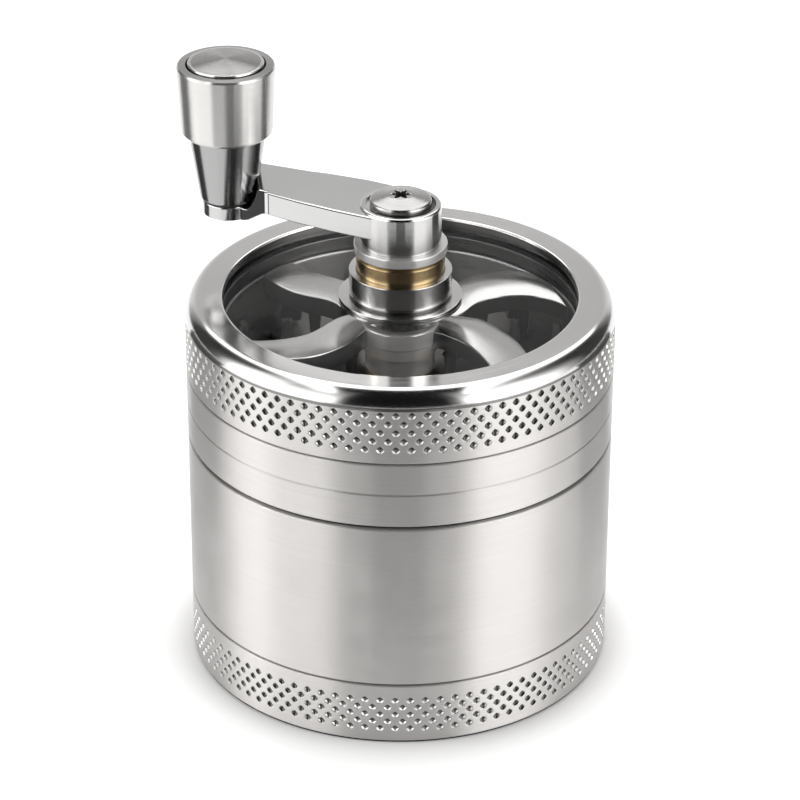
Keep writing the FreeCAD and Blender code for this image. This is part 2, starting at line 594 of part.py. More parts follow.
s.AttachmentOffset = FreeCAD.Placement(s.AttachmentOffset.Base,
                                       FreeCAD.Rotation(Vector(0, 0, 1), -VALUE["crank_angle"]))
draw(s, [(-1 * half, -1 * half), (half, -1 * half), (half, half), (-1 * half, half)])
pocket(crank, s, "hub_square", depth=cell("web_low") - cell("hub_low"))
s = new_sketch(crank, "head_recess_outline", "XY_Plane", cell("hub_top"))
circle(s, 0, 0, cell("recess_radius"))
pocket(crank, s, "head_recess", depth=cell("hub_top") - cell("head_seat"))
s = new_sketch(crank, "screw_hole_in_hub_outline", "XY_Plane", cell("head_seat"))
circle(s, 0, 0, cell("thread_radius"))
pocket(crank, s, "screw_hole_in_hub", depth=cell("head_seat") - cell("web_low"))
s = new_sketch(crank, "pin_hole_outline", "XY_Plane", ET)
circle(s, T_, 0, cell("pin_neck"))
pocket(crank, s, "pin_hole", depth=ET - EL)
crank.Placement = FreeCAD.Placement(Vector(0, 0, 0), FreeCAD.Rotation(Vector(0, 0, 1), VALUE["crank_angle"]))

screw = turned("crank_screw", [
    (0, 62.6), (cell("thread_radius") - 0.25, 62.6), (cell("thread_radius"), 62.85),
    (cell("thread_radius"), cell("head_seat")), (cell("head_radius"), cell("head_seat")),
    (cell("head_radius"), cell("head_seat") + 0.55, 0.5), (cell("head_radius") - 0.4, cell("head_seat") + 1.0, "dome"),
    (0, cell("head_top")),
])
s = new_sketch(screw, "star_middle_outline", "XY_Plane", cell("head_top"))
circle(s, 0, 0, 1.05)
pocket(screw, s, "star_middle", depth=1.15)
s = new_sketch(screw, "star_lobe_outline", "XY_Plane", cell("head_top"))
circle(s, 1.18, 0, 0.42)
f = pocket(screw, s, "star_lobe", depth=1.15)
around(screw, [f], "star_lobes", 6)

# ------------------------------------------------------------------ knob, made on Z, then moved to the crank's eye
angle = math.radians(VALUE["crank_angle"])
knob_place = FreeCAD.Placement(Vector(VALUE["crank_throw"] * math.cos(angle), VALUE["crank_throw"] * math.sin(angle), 0),
                               FreeCAD.Rotation())
pieces = [
    turned("knob_pin", [
        (0, EL - 0.45), (2.2, EL - 0.45), (2.6, EL - 0.1), (2.6, EL), (cell("pin_neck"), EL), (cell("pin_neck"), ET),
        (cell("pin_radius"), ET), (cell("pin_radius"), cell("pin_head_low")), (cell("pin_head"), cell("pin_head_low")),
        (cell("pin_head"), cell("pin_head_top") - 0.2), (cell("pin_head") - 0.2, cell("pin_head_top")),
        (0, cell("pin_head_top")),
    ]),
    turned("knob_washer", [(2.1, ET), (3.7, ET), (3.7, ET + 0.32), (2.1, ET + 0.32)]),
    turned("knob_bush", [
        (cell("knob_bush_bore"), cell("knob_low")), (cell("knob_bush_radius"), cell("knob_low")),
        (cell("knob_bush_radius"), cell("knob_core_top")), (cell("knob_bush_bore"), cell("knob_core_top")),
    ]),
    turned("knob_body", [
        (cell("knob_bush_radius"), cell("knob_low")), (cell("knob_foot_radius") - 0.2, cell("knob_low")),
        (cell("knob_foot_radius"), cell("knob_low") + 0.25), (cell("knob_waist_radius"), cell("knob_joint")),
        (cell("knob_core_radius"), cell("knob_joint")), (cell("knob_core_radius"), cell("knob_core_top")),
        (cell("knob_bush_radius"), cell("knob_core_top")),
    ]),
    turned("knob_sleeve", [
        (cell("sleeve_bore"), cell("sleeve_low")), (cell("sleeve_low_radius") - 0.42, cell("sleeve_low")),
        (cell("sleeve_low_radius"), cell("sleeve_low") + 0.42), (cell("sleeve_top_radius"), cell("sleeve_top") - 0.6),
        (cell("sleeve_top_radius") - 0.45, cell("sleeve_top")), (cell("cap_pocket"), cell("sleeve_top")),
        (cell("cap_pocket"), cell("cap_seat")), (cell("sleeve_bore"), cell("cap_seat")),
    ]),
    turned("knob_cap", [
        (0, cell("cap_seat") - 0.6), (cell("sleeve_bore"), cell("cap_seat") - 0.6), (cell("sleeve_bore"), cell("cap_seat")),
        (cell("cap_radius"), cell("cap_seat")), (cell("cap_radius"), cell("cap_top") - 1.3, 0.4),
        (cell("cap_radius") - 0.3, cell("cap_top") - 0.95, "dome"), (0, cell("cap_top")),
    ]),
]
for piece in pieces:
    piece.Placement = knob_place

# ------------------------------------------------------------------ check and write
doc.recompute()
NODES = [
    "base_cup", "base_seal", "storage_chamber", "sieve_mesh", "sieve_ring", "chamber_seal", "tooth_plate",
    "plate_magnet", "grinding_ring", "slip_ring", "lid_ring", "bezel", "window_gasket", "window",
    "bearing_housing", "bearing_nut", "brass_bush", "spring_washer", "hub_washer", "thrust_washer", "spindle",
    "rotor", "rotor_screw", "rotor_magnet", "crank_arm", "crank_screw", "knob_pin", "knob_washer", "knob_bush",
    "knob_body", "knob_sleeve", "knob_cap",
]
for obj in doc.Objects:
    bad = [word for word in obj.State if word in ("Invalid", "Error")]
    if bad:
        raise RuntimeError("%s is %s" % (obj.Label, bad))
by_label = {obj.Label: obj for obj in doc.Objects}
for name in NODES:
    shape = by_label[name].Shape
    if shape.isNull() or not shape.isValid() or len(shape.Solids) != 1:
        raise RuntimeError("bad shape: %s %d solids" % (name, len(shape.Solids)))
os.makedirs("parts", exist_ok=True)
for name in NODES:
    shape = by_label[name].Shape
    shape.exportStep("parts/%s.step" % name)
    box = shape.BoundBox
    print("%-16s V=%9.2f  x %.2f..%.2f  y %.2f..%.2f  z %.2f..%.2f" % (
        name, shape.Volume, box.XMin, box.XMax, box.YMin, box.YMax, box.ZMin, box.ZMax))
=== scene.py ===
import json
import math

import bmesh
import bpy
import numpy as np
from mathutils import Matrix, Vector


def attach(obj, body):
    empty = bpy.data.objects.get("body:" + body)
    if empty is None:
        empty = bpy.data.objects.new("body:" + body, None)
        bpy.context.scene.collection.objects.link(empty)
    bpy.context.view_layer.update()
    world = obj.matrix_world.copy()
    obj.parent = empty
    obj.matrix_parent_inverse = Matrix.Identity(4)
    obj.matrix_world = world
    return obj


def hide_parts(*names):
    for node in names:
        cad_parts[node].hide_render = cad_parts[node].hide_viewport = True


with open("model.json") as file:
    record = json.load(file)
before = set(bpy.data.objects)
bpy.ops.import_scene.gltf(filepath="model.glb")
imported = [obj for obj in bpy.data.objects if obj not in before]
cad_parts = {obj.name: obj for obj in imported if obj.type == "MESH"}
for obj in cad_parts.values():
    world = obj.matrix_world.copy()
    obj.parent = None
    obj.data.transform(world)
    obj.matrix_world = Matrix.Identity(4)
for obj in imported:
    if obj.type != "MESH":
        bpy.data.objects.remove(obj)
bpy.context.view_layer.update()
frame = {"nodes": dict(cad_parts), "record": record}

MM = 0.001
TAU = 2 * math.pi

# The row frame in millimetres: Z is the mill's axis, the photograph's camera stands at -Y.
THROW, SWING = 27.92, math.radians(155.45)
KNOB = (THROW * math.cos(SWING), THROW * math.sin(SWING))
BODY_OF = {n: b for b, ns in frame["record"]["behaviour"]["bodies"].items() for n in ns}


# ------------------------------------------------------------------ node helpers
class Nodes:
    """A small hand for building node trees."""

    def __init__(self, tree):
        self.tree = tree
        tree.nodes.clear()

    def add(self, kind, **props):
        node = self.tree.nodes.new(kind)
        ins = props.pop("ins", {})
        for key, value in props.items():
            setattr(node, key, value)
        for key, value in ins.items():
            self.put(node, key, value)
        return node

    def put(self, node, key, value):
        socket = node.inputs[key]
        if isinstance(value, bpy.types.NodeSocket):
            self.tree.links.new(value, socket)
        else:
            socket.default_value = value

    def math(self, op, a, b=None, c=None, clamp=False):
        node = self.add("ShaderNodeMath", operation=op, use_clamp=clamp)
        for i, value in enumerate((a, b, c)):
            if value is not None:
                self.put(node, i, value)
        return node.outputs[0]

    def ramp(self, fac, stops, mode="LINEAR"):
        node = self.add("ShaderNodeValToRGB")
        node.color_ramp.interpolation = mode
        elements = node.color_ramp.elements
        while len(elements) > 1:
            elements.remove(elements[-1])
        for i, (pos, value) in enumerate(stops):
            e = elements[0] if i == 0 else elements.new(pos)
            e.position = pos
            e.color = (*value, 1.0) if isinstance(value, (tuple, list)) else (value, value, value, 1.0)
        self.put(node, "Fac", fac)
        return node.outputs["Color"]

    def smooth(self, value, low, high):
        node = self.add("ShaderNodeMapRange", interpolation_type="SMOOTHSTEP")
        self.put(node, "Value", value)
        self.put(node, "From Min", low)
        self.put(node, "From Max", high)
        return node.outputs["Result"]

    def range(self, value, low, high, to_low, to_high):
        node = self.add("ShaderNodeMapRange")
        self.put(node, "Value", value)
        self.put(node, "From Min", low)
        self.put(node, "From Max", high)
        self.put(node, "To Min", to_low)
        self.put(node, "To Max", to_high)
        return node.outputs["Result"]


def new_material(name):
    mat = bpy.data.materials.new(name)
    mat.use_nodes = True
    return mat, Nodes(mat.node_tree)


def turned_vector(n, centre=(0.0, 0.0), along=55.0, across=5200.0):
    """Coordinates for lathe marks: slow round the axis, fast across the marks."""
    tc = n.add("ShaderNodeTexCoord")
    sep = n.add("ShaderNodeSeparateXYZ")
    n.put(sep, 0, tc.outputs["Object"])
    x = n.math("SUBTRACT", sep.outputs[0], centre[0] * MM)
    y = n.math("SUBTRACT", sep.outputs[1], centre[1] * MM)
    r = n.math("SQRT", n.math("ADD", n.math("MULTIPLY", x, x), n.math("MULTIPLY", y, y)))
    w = n.math("MULTIPLY", n.math("ADD", sep.outputs[2], n.math("MULTIPLY", r, 1.13)), across)
    comb = n.add("ShaderNodeCombineXYZ")
    n.put(comb, 0, n.math("MULTIPLY", x, along))
    n.put(comb, 1, n.math("MULTIPLY", y, along))
    n.put(comb, 2, w)
    return comb.outputs[0], tc.outputs["Object"]


def turned_metal(name, colour, rough, aniso=0.0, grain=0.5, bump=0.02, centre=(0.0, 0.0), along=55.0,
                 across=5200.0, rough_var=0.06, blotch=0.04, rotation=0.25, metallic=1.0, inside=None):
    """Metal turned or brushed round an axis: fine rings, faint blotches, anisotropic gloss."""
    mat, n = new_material(name)
    vec, obj = turned_vector(n, centre, along, across)
    fine = n.add("ShaderNodeTexNoise", ins={"Vector": vec, "Scale": 1.0, "Detail": 3.0, "Roughness": 0.6})
    fine_v = fine.outputs["Fac"]
    slow = n.add("ShaderNodeTexNoise", ins={"Vector": obj, "Scale": 160.0, "Detail": 3.0, "Roughness": 0.55})
    slow_v = slow.outputs["Fac"]
    lo = tuple(c * (1.0 - 0.10 * grain) for c in colour)
    hi = tuple(min(1.0, c * (1.0 + 0.07 * grain)) for c in colour)
    mixed = n.math("ADD", n.math("MULTIPLY", fine_v, 0.8), n.math("MULTIPLY", slow_v, 0.2))
    col = n.ramp(mixed, [(0.30, lo), (0.52, colour), (0.75, hi)])
    if inside:
        # painted shade: the colour is darkened within a radius: (radius in mm, brightness)
        flat = n.add("ShaderNodeVectorMath", operation="MULTIPLY", ins={0: obj, 1: (1.0, 1.0, 0.0)})
        far = n.add("ShaderNodeVectorMath", operation="LENGTH", ins={0: flat.outputs[0]})
        shade = n.range(far.outputs["Value"], (inside[0] - 0.3) * MM, (inside[0] + 0.3) * MM, inside[1], 1.0)
        scaled = n.add("ShaderNodeVectorMath", operation="SCALE", ins={0: col, "Scale": shade})
        col = scaled.outputs[0]
    r1 = n.range(fine_v, 0.3, 0.7, rough - rough_var, rough + rough_var)
    r2 = n.range(slow_v, 0.3, 0.7, -blotch, blotch)
    out = n.add("ShaderNodeOutputMaterial")
    bsdf = n.add("ShaderNodeBsdfPrincipled", ins={"Metallic": metallic, "Base Color": col,
                                                   "Roughness": n.math("ADD", r1, r2, clamp=True)})
    if aniso:
        bsdf.inputs["Anisotropic"].default_value = aniso
        bsdf.inputs["Anisotropic Rotation"].default_value = rotation
        sep = n.add("ShaderNodeSeparateXYZ", ins={0: obj})
        round_axis = n.add("ShaderNodeCombineXYZ")
        n.put(round_axis, 0, n.math("SUBTRACT", centre[1] * MM, sep.outputs[1]))
        n.put(round_axis, 1, n.math("SUBTRACT", sep.outputs[0], centre[0] * MM))
        unit = n.add("ShaderNodeVectorMath", operation="NORMALIZE", ins={0: round_axis.outputs[0]})
        world_dir = n.add("ShaderNodeVectorTransform", vector_type="VECTOR", convert_from="OBJECT", convert_to="WORLD", ins={0: unit.outputs[0]})
        n.put(bsdf, "Tangent", world_dir.outputs[0])
    if bump:
        b = n.add("ShaderNodeBump", ins={"Strength": bump, "Distance": 0.0001, "Height": fine_v})
        n.put(bsdf, "Normal", b.outputs[0])
    n.put(out, "Surface", bsdf.outputs[0])
    return mat


def plain_metal(name, colour, rough, scale=420.0, bump=0.03, rough_var=0.05, stretch=(1.0, 1.0, 1.0), tint=0.05):
    """Polished, cast or tumbled metal with faint smears."""
    mat, n = new_material(name)
    tc = n.add("ShaderNodeTexCoord")
    mp = n.add("ShaderNodeMapping", ins={"Vector": tc.outputs["Object"], "Scale": stretch})
    fine = n.add("ShaderNodeTexNoise", ins={"Vector": mp.outputs[0], "Scale": scale, "Detail": 4.0, "Roughness": 0.6})
    big = n.add("ShaderNodeTexNoise", ins={"Vector": mp.outputs[0], "Scale": scale * 0.16, "Detail": 2.0})
    lo = tuple(c * (1.0 - tint) for c in colour)
    col = n.ramp(big.outputs["Fac"], [(0.35, lo), (0.65, colour)])
    r = n.math("ADD", n.range(fine.outputs["Fac"], 0.3, 0.7, rough - rough_var * 0.5, rough + rough_var * 0.5),
               n.range(big.outputs["Fac"], 0.35, 0.65, 0.0, rough_var), clamp=True)
    bsdf = n.add("ShaderNodeBsdfPrincipled", ins={"Metallic": 1.0, "Base Color": col, "Roughness": r})
    if bump:
        b = n.add("ShaderNodeBump", ins={"Strength": bump, "Distance": 0.0001, "Height": fine.outputs["Fac"]})
        n.put(bsdf, "Normal", b.outputs[0])
    out = n.add("ShaderNodeOutputMaterial")
    n.put(out, "Surface", bsdf.outputs[0])
    return mat


def moulded(name, colour, rough, spec=0.5, scale=900.0, bump=0.08):
    """Rubber or plastic with a fine skin."""
    mat, n = new_material(name)
    tc = n.add("ShaderNodeTexCoord")
    fine = n.add("ShaderNodeTexNoise", ins={"Vector": tc.outputs["Object"], "Scale": scale, "Detail": 3.0})
    col = n.ramp(fine.outputs["Fac"], [(0.3, tuple(c * 0.8 for c in colour)), (0.7, tuple(c * 1.2 for c in colour))])
    r = n.range(fine.outputs["Fac"], 0.3, 0.7, rough - 0.06, rough + 0.06)
    b = n.add("ShaderNodeBump", ins={"Strength": bump, "Distance": 0.0001, "Height": fine.outputs["Fac"]})
    bsdf = n.add("ShaderNodeBsdfPrincipled", ins={"Base Color": col, "Roughness": r, "Normal": b.outputs[0]})
    bsdf.inputs["Specular IOR Level"].default_value = spec
    out = n.add("ShaderNodeOutputMaterial")
    n.put(out, "Surface", bsdf.outputs[0])
    return mat


def clear(name):
    """Clear sheet: seen through, with a gloss that grows towards grazing angles, the same from both sides."""
    mat, n = new_material(name)
    tc = n.add("ShaderNodeTexCoord")
    fine = n.add("ShaderNodeTexNoise", ins={"Vector": tc.outputs["Object"], "Scale": 60.0, "Detail": 2.0})
    r = n.range(fine.outputs["Fac"], 0.3, 0.7, 0.008, 0.02)
    facing = n.add("ShaderNodeLayerWeight", ins={"Blend": 0.5})
    rise = n.math("POWER", facing.outputs["Facing"], 5.0)
    share = n.math("ADD", n.math("MULTIPLY", rise, 0.35), 0.008)
    see = n.add("ShaderNodeBsdfTransparent", ins={"Color": (0.985, 0.985, 0.985, 1.0)})
    gloss = n.add("ShaderNodeBsdfGlossy", ins={"Color": (1, 1, 1, 1), "Roughness": r})
    mix = n.add("ShaderNodeMixShader", ins={0: share, 1: see.outputs[0], 2: gloss.outputs[0]})
    out = n.add("ShaderNodeOutputMaterial")
    n.put(out, "Surface", mix.outputs[0])
    return mat


GREY = (0.542, 0.528, 0.517)
BRIGHT = (0.62, 0.615, 0.61)
M = {
    "satin": turned_metal("satin_body", GREY, 0.42, aniso=1.0, grain=0.7, bump=0.035, metallic=0.72),
    # the tooth plate's colour falls to a quarter inside 29.8 mm: painted shade within the chamber
    "plate": turned_metal("satin_plate_painted_shade", GREY, 0.42, aniso=1.0, grain=0.9, bump=0.05, metallic=0.72, inside=(29.8, 0.25)),
    "satin_in": turned_metal("satin_inside", (0.38, 0.376, 0.372), 0.30, aniso=0.9, grain=0.4, bump=0.02, rough_var=0.03, blotch=0.02),
    "shade": turned_metal("inner_shade", (0.20, 0.197, 0.194), 0.30, aniso=0.9, grain=0.4, bump=0.02, rough_var=0.03, blotch=0.02),
    # dark colour for the rotor's arm walls, arm ends and teeth: painted shade inside the grinder
    "tooth": plain_metal("rotor_teeth_painted_shade", (0.19, 0.19, 0.19), 0.30, scale=500.0, bump=0.01),
    # near-black for the base cup's foot step: a painted contact shadow
    "foot": plain_metal("foot_painted_contact_shadow", (0.05, 0.05, 0.05), 0.4),
    # dark colour for the bottoms of the knurl pits: painted shade
    "pit": plain_metal("knurl_pit_painted_shade", (0.11, 0.108, 0.106), 0.34),
    "dent": plain_metal("knurl_cut", (0.38, 0.376, 0.372), 0.22, bump=0.01, rough_var=0.02),
    "polish": turned_metal("polished_ring", BRIGHT, 0.14, aniso=0.8, grain=0.25, bump=0.006, rough_var=0.02, blotch=0.01),
    "chrome": turned_metal("chrome_turned", BRIGHT, 0.17, aniso=0.9, grain=0.15, bump=0.005, rough_var=0.02, blotch=0.01, along=120.0),
    "hub": turned_metal("hub_turned", (0.56, 0.557, 0.553), 0.17, aniso=0.9, grain=0.15, bump=0.005, rough_var=0.02, blotch=0.01, along=120.0),
    "washer": turned_metal("washer_turned", (0.66, 0.656, 0.65), 0.19, aniso=0.9, grain=0.15, bump=0.005, rough_var=0.02, blotch=0.01, along=120.0, metallic=0.66),
    "arm": plain_metal("arm_polish", (0.60, 0.60, 0.60), 0.13, bump=0.006, rough_var=0.02, tint=0.03),
    # darker copy of the arm's metal for its side faces: painted shade
    "arm_side_painted_shade": plain_metal("arm_side_painted_shade", (0.52, 0.52, 0.52), 0.15, bump=0.006, rough_var=0.02, tint=0.03),
    # near-black for the arm's neck and dark lines along it: painted shade
    "arm_neck_painted_shade": plain_metal("arm_neck_painted_shade", (0.035, 0.035, 0.035), 0.15, bump=0.006, rough_var=0.02, tint=0.03),
    "rotor_hub": turned_metal("rotor_hub", (0.80, 0.79, 0.785), 0.22, aniso=0.9, grain=0.3, bump=0.008, rough_var=0.03, blotch=0.02, metallic=0.5),
    "rotor": plain_metal("rotor_cast", (0.47, 0.467, 0.463), 0.20, scale=500.0, bump=0.006, rough_var=0.04),
    # a lighter copy of the rotor's cast metal for one arm's top: painted light
    "rotor_lit": plain_metal("rotor_cast_painted_light", (0.66, 0.655, 0.65), 0.22, scale=500.0, bump=0.006, rough_var=0.04),
    "steel": turned_metal("plain_steel", (0.50, 0.50, 0.50), 0.28, aniso=0.3, grain=0.5, bump=0.02),
    "brass": turned_metal("bush_brass", (0.47, 0.35, 0.19), 0.22, aniso=0.9, grain=0.3, bump=0.008, across=4200.0, rough_var=0.03, blotch=0.02),
    "plating": plain_metal("magnet_plating", (0.62, 0.62, 0.64), 0.12),
    "rubber": moulded("seal_rubber", (0.012, 0.012, 0.012), 0.55),
    "slip": moulded("slip_plastic", (0.03, 0.03, 0.03), 0.42),
    "knob_satin": turned_metal("knob_satin", (0.57, 0.565, 0.555), 0.25, aniso=1.0, grain=0.3, bump=0.003, centre=KNOB, along=90.0, across=7000.0, metallic=0.88, rough_var=0.02, blotch=0.01),
    "knob_polish": turned_metal("knob_polish", (0.35, 0.35, 0.35), 0.16, aniso=0.9, grain=0.15, bump=0.004, centre=KNOB, rough_var=0.02, blotch=0.01, along=200.0),
    "knob_edge": turned_metal("knob_edge", (0.58, 0.577, 0.573), 0.15, aniso=0.9, grain=0.2, bump=0.004, centre=KNOB, rough_var=0.02, blotch=0.01),
    # darker copy of the knob sleeve's metal for its top rim: painted shade
    "knob_rim_painted_shade": turned_metal("knob_rim_painted_shade", (0.36, 0.357, 0.353), 0.15, aniso=0.9, grain=0.2, bump=0.004, centre=KNOB, rough_var=0.02, blotch=0.01),
    # darker copy of the cap's metal for its dome, against the lighter edge: painted shade
    "knob_spun_painted_shade": turned_metal("knob_spun_painted_shade", (0.30, 0.297, 0.293), 0.24, aniso=1.0, grain=0.4, bump=0.012, centre=KNOB, along=200.0),
    "screw": turned_metal("screw_spun", (0.36, 0.357, 0.353), 0.24, aniso=0.8, grain=0.4, bump=0.02, along=200.0),
    "clear": clear("clear_window"),
}


# ------------------------------------------------------------------ mesh helpers
def rounded(points, step=12.0):
    """Replaces each corner given as (x, y, radius) with an arc.  The outline is closed."""
    out = []
    n = len(points)
    for i in range(n):
        p = points[i]
        if len(p) < 3 or p[2] <= 0:
            out.append((p[0], p[1]))
            continue
        a = np.array(points[i - 1][:2], float)
        b = np.array(p[:2], float)
        c = np.array(points[(i + 1) % n][:2], float)
        u, v = a - b, c - b
        lu, lv = np.linalg.norm(u), np.linalg.norm(v)
        u, v = u / lu, v / lv
        ang = math.acos(max(-1.0, min(1.0, float(u @ v))))
        if ang > math.pi - 1e-3:
            out.append((p[0], p[1]))
            continue
        t = min(p[2] / math.tan(ang / 2), 0.499 * lu, 0.499 * lv)
        rad = t * math.tan(ang / 2)
        mid = (u + v) / np.linalg.norm(u + v)
        centre = b + mid * rad / math.sin(ang / 2)
        s, e = b + u * t, b + v * t
        a0 = math.atan2(*(s - centre)[::-1])
        a1 = math.atan2(*(e - centre)[::-1])
        d = (a1 - a0 + math.pi) % TAU - math.pi
        k = max(2, int(math.ceil(abs(math.degrees(d)) / step)))
        for j in range(k + 1):
            w = a0 + d * j / k
            out.append((centre[0] + rad * math.cos(w), centre[1] + rad * math.sin(w)))
    return out


def held(prof, mat, closed, near=0.05, least=0.3):
    """Adds a point close to both ends of every long straight stretch, so that flats shade flat up to their rounded edges."""
    n = len(prof)
    out, mats = [], []
    for i, p in enumerate(prof):
        m = mat[i] if isinstance(mat, (list, tuple)) else mat
        out.append(p)
        mats.append(m)
        if i == n - 1 and not closed:
            break
        q = prof[(i + 1) % n]
        long = math.hypot(q[0] - p[0], q[1] - p[1])
        if long > least and not (p[0] < 1e-7 and q[0] < 1e-7):
            for f in (near / long, 1 - near / long):
                out.append((p[0] + (q[0] - p[0]) * f, p[1] + (q[1] - p[1]) * f))
                mats.append(m)
    return out, mats


class Soup:
    """Collects vertices (mm) and faces with a material number each."""

    def __init__(self):
        self.v, self.f, self.m = [], [], []
        self.count = 0

    def add(self, verts, faces, mat=0):
        verts = np.asarray(verts, float).reshape(-1, 3)
        self.v.append(verts)
        self.f.extend([[i + self.count for i in face] for face in faces])
        if isinstance(mat, (list, tuple, np.ndarray)):
            self.m.extend(mat)
        else:
            self.m.extend([mat] * len(faces))
        self.count += len(verts)

    def lathe(self, profile, segs, mat=0, centre=(0.0, 0.0), closed=True, flip=False, turn=0.0):
        """Revolves (r, z) points.  A closed profile joins its last point to its first, unless both lie on the axis."""
        prof, mat = held([tuple(p) for p in profile], mat, closed)
        ang = turn + np.arange(segs) * TAU / segs
        ca, sa = np.cos(ang), np.sin(ang)
        rings, verts, idx = [], [], 0
        for r, z in prof:
            if r < 1e-7:
                verts.append([[centre[0], centre[1], z]])
                rings.append([idx])
                idx += 1
            else:
                verts.append(np.stack([centre[0] + r * ca, centre[1] + r * sa, np.full(segs, z)], 1))
                rings.append(list(range(idx, idx + segs)))
                idx += segs
        verts = np.concatenate([np.asarray(x, float) for x in verts])
        faces, mats = [], []
        k = len(prof)
        pairs = [(i, i + 1) for i in range(k - 1)]
        if closed and not (prof[0][0] < 1e-7 and prof[-1][0] < 1e-7):
            pairs.append((k - 1, 0))
        for a, b in pairs:
            ra, rb = rings[a], rings[b]
            if len(ra) == 1 and len(rb) == 1:
                continue
            mm = mat[a] if isinstance(mat, (list, tuple)) else mat
            for j in range(segs):
                q = (j + 1) % segs
                if len(ra) == 1:
                    face = [ra[0], rb[q], rb[j]]
                elif len(rb) == 1:
                    face = [ra[j], ra[q], rb[0]]
                else:
                    face = [ra[j], ra[q], rb[q], rb[j]]
                faces.append(face[::-1] if flip else face)
                mats.append(mm)
        self.add(verts, faces, mats)

    def grid(self, P, mat=0, close_u=False, close_v=False, flip=False):
        """P is an array (u, v, 3): quads between neighbours."""
        nu, nv = P.shape[:2]
        faces = []
        for i in range(nu if close_u else nu - 1):
            for j in range(nv if close_v else nv - 1):
                a, b = i * nv + j, ((i + 1) % nu) * nv + j
                c, d = ((i + 1) % nu) * nv + (j + 1) % nv, i * nv + (j + 1) % nv
                faces.append([a, d, c, b] if flip else [a, b, c, d])
        self.add(P.reshape(-1, 3), faces, mat)

    def make(self, name, mats, sharp=32.0, weld=True, outward=True):
        verts = np.concatenate(self.v) * MM
        me = bpy.data.meshes.new(name)
        me.from_pydata(verts.tolist(), [], self.f)
        for m in mats:
            me.materials.append(m)
        me.polygons.foreach_set("material_index", np.asarray(self.m, np.int32))
        if weld or outward:
            bm = bmesh.new()
            bm.from_mesh(me)
            if weld:
                bmesh.ops.remove_doubles(bm, verts=bm.verts, dist=2e-6)
            if outward:
                bmesh.ops.recalc_face_normals(bm, faces=bm.faces)
            bm.to_mesh(me)
            bm.free()
        me.polygons.foreach_set("use_smooth", [True] * len(me.polygons))
        me.update()
        me.set_sharp_from_angle(angle=math.radians(sharp))
        obj = bpy.data.objects.new(name, me)
        bpy.context.scene.collection.objects.link(obj)
        return obj


def place(obj, node):
    """The piece rides with its body and stands in for its CAD node, which is hidden."""
    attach(obj, BODY_OF[node])
    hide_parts(node)
    return obj


def turned(node, name, points, mats, segs=240, centre=(0.0, 0.0), step=12.0, sharp=32.0, dark=()):
    """A turned piece; stretches that start inside a box of `dark` (r, r, z, z) take the second material, a darker
    colour where used: painted shade in the bearing housing's grooves and on the knob sleeve's rim.
    """
    s = Soup()
    prof = rounded(points, step)
    s.lathe(prof, segs, [int(any(a < p[0] < b and c < p[1] < d for a, b, c, d in dark)) for p in prof], centre)
    return place(s.make(name, mats, sharp), node)


# ------------------------------------------------------------------ knurled bands
def knurl(s, radius, z_rows, pitch_v, half_w, half_h, depth, count, plain, cut, pit_shade):
    """A band of staggered pits with rounded diamond outlines.  Two columns of tiles per pit; rows listed from the top.
    The deeper rings and the tip of each pit take a dark colour: painted shade.
    """
    cols = 2 * count
    du = TAU / cols
    z_top = z_rows[0] + pitch_v / 2
    around = 16
    w = np.arange(around) * TAU / around
    power = 1.26
    wide = 0.12 / radius
    q = 1.0 / (np.abs(np.cos(w)) ** power + np.abs(np.sin(w)) ** power) ** (1 / power)
    ox, oz = q * np.cos(w) * half_w, q * np.sin(w) * half_h
    rings = [(1.0, 0.0), (0.96, 0.03), (0.85, 0.23), (0.66, 0.52), (0.43, 0.79), (0.20, 0.96)]

    def at(a, z, d):
        return np.stack([(radius - d) * np.cos(a), (radius - d) * np.sin(a), z], -1)

    # from the fourth ring inwards and at the tip the pit takes the dark colour: painted shade in the hollow
    ring_faces, ring_mats = [], []
    for k in range(len(rings) - 1):
        o, p = 6 + around * k, 6 + around * (k + 1)
        for e in range(around):
            g = (e + 1) % around
            ring_faces.append([o + e, o + g, p + g, p + e])
            ring_mats.append(cut if k < 3 else pit_shade)
    o, tip = 6 + around * (len(rings) - 1), 6 + around * len(rings)
    for e in range(around):
        ring_faces.append([o + e, o + (e + 1) % around, tip])
        ring_mats.append(pit_shade)
    h = around // 4
    E, N, W, S = 6, 6 + h, 6 + 2 * h, 6 + 3 * h
    # a tile with a pit bulges sideways (points 4 and 5) into its plain neighbours
    frame_faces = [[0, 1, S], [2, 3, N], [1, 4, E] + list(range(6 + around - 1, S - 1, -1)), [4, 2] + list(range(N, E - 1, -1)),
                   [3, 5] + list(range(W, N - 1, -1)), [5, 0] + list(range(S, W - 1, -1))]
    for j, zc in enumerate(z_rows):
        z0, z1 = z_top - (j + 1) * pitch_v, z_top - j * pitch_v
        for i in range(cols):
            a0, a1 = i * du, (i + 1) * du
            ac = (a0 + a1) / 2
            corners = at(np.array([a0, a1, a1, a0]), np.array([z0, z0, z1, z1]), 0.0)
            if (i + j) % 2:
                s.add(np.concatenate([corners, at(np.array([a1 - wide, a0 + wide]), np.array([zc, zc]), 0.0)]), [[0, 1, 4, 2, 3, 5]], plain)
                continue
            parts = [corners, at(np.array([a1 + wide, a0 - wide]), np.array([zc, zc]), 0.0)]
            for k, d in rings:
                parts.append(at(ac + ox * k / radius, zc + oz * k, d * depth))
            parts.append(at(np.array([ac]), np.array([zc]), depth))
            s.add(np.concatenate(parts), frame_faces + ring_faces, [plain] * len(frame_faces) + ring_mats)


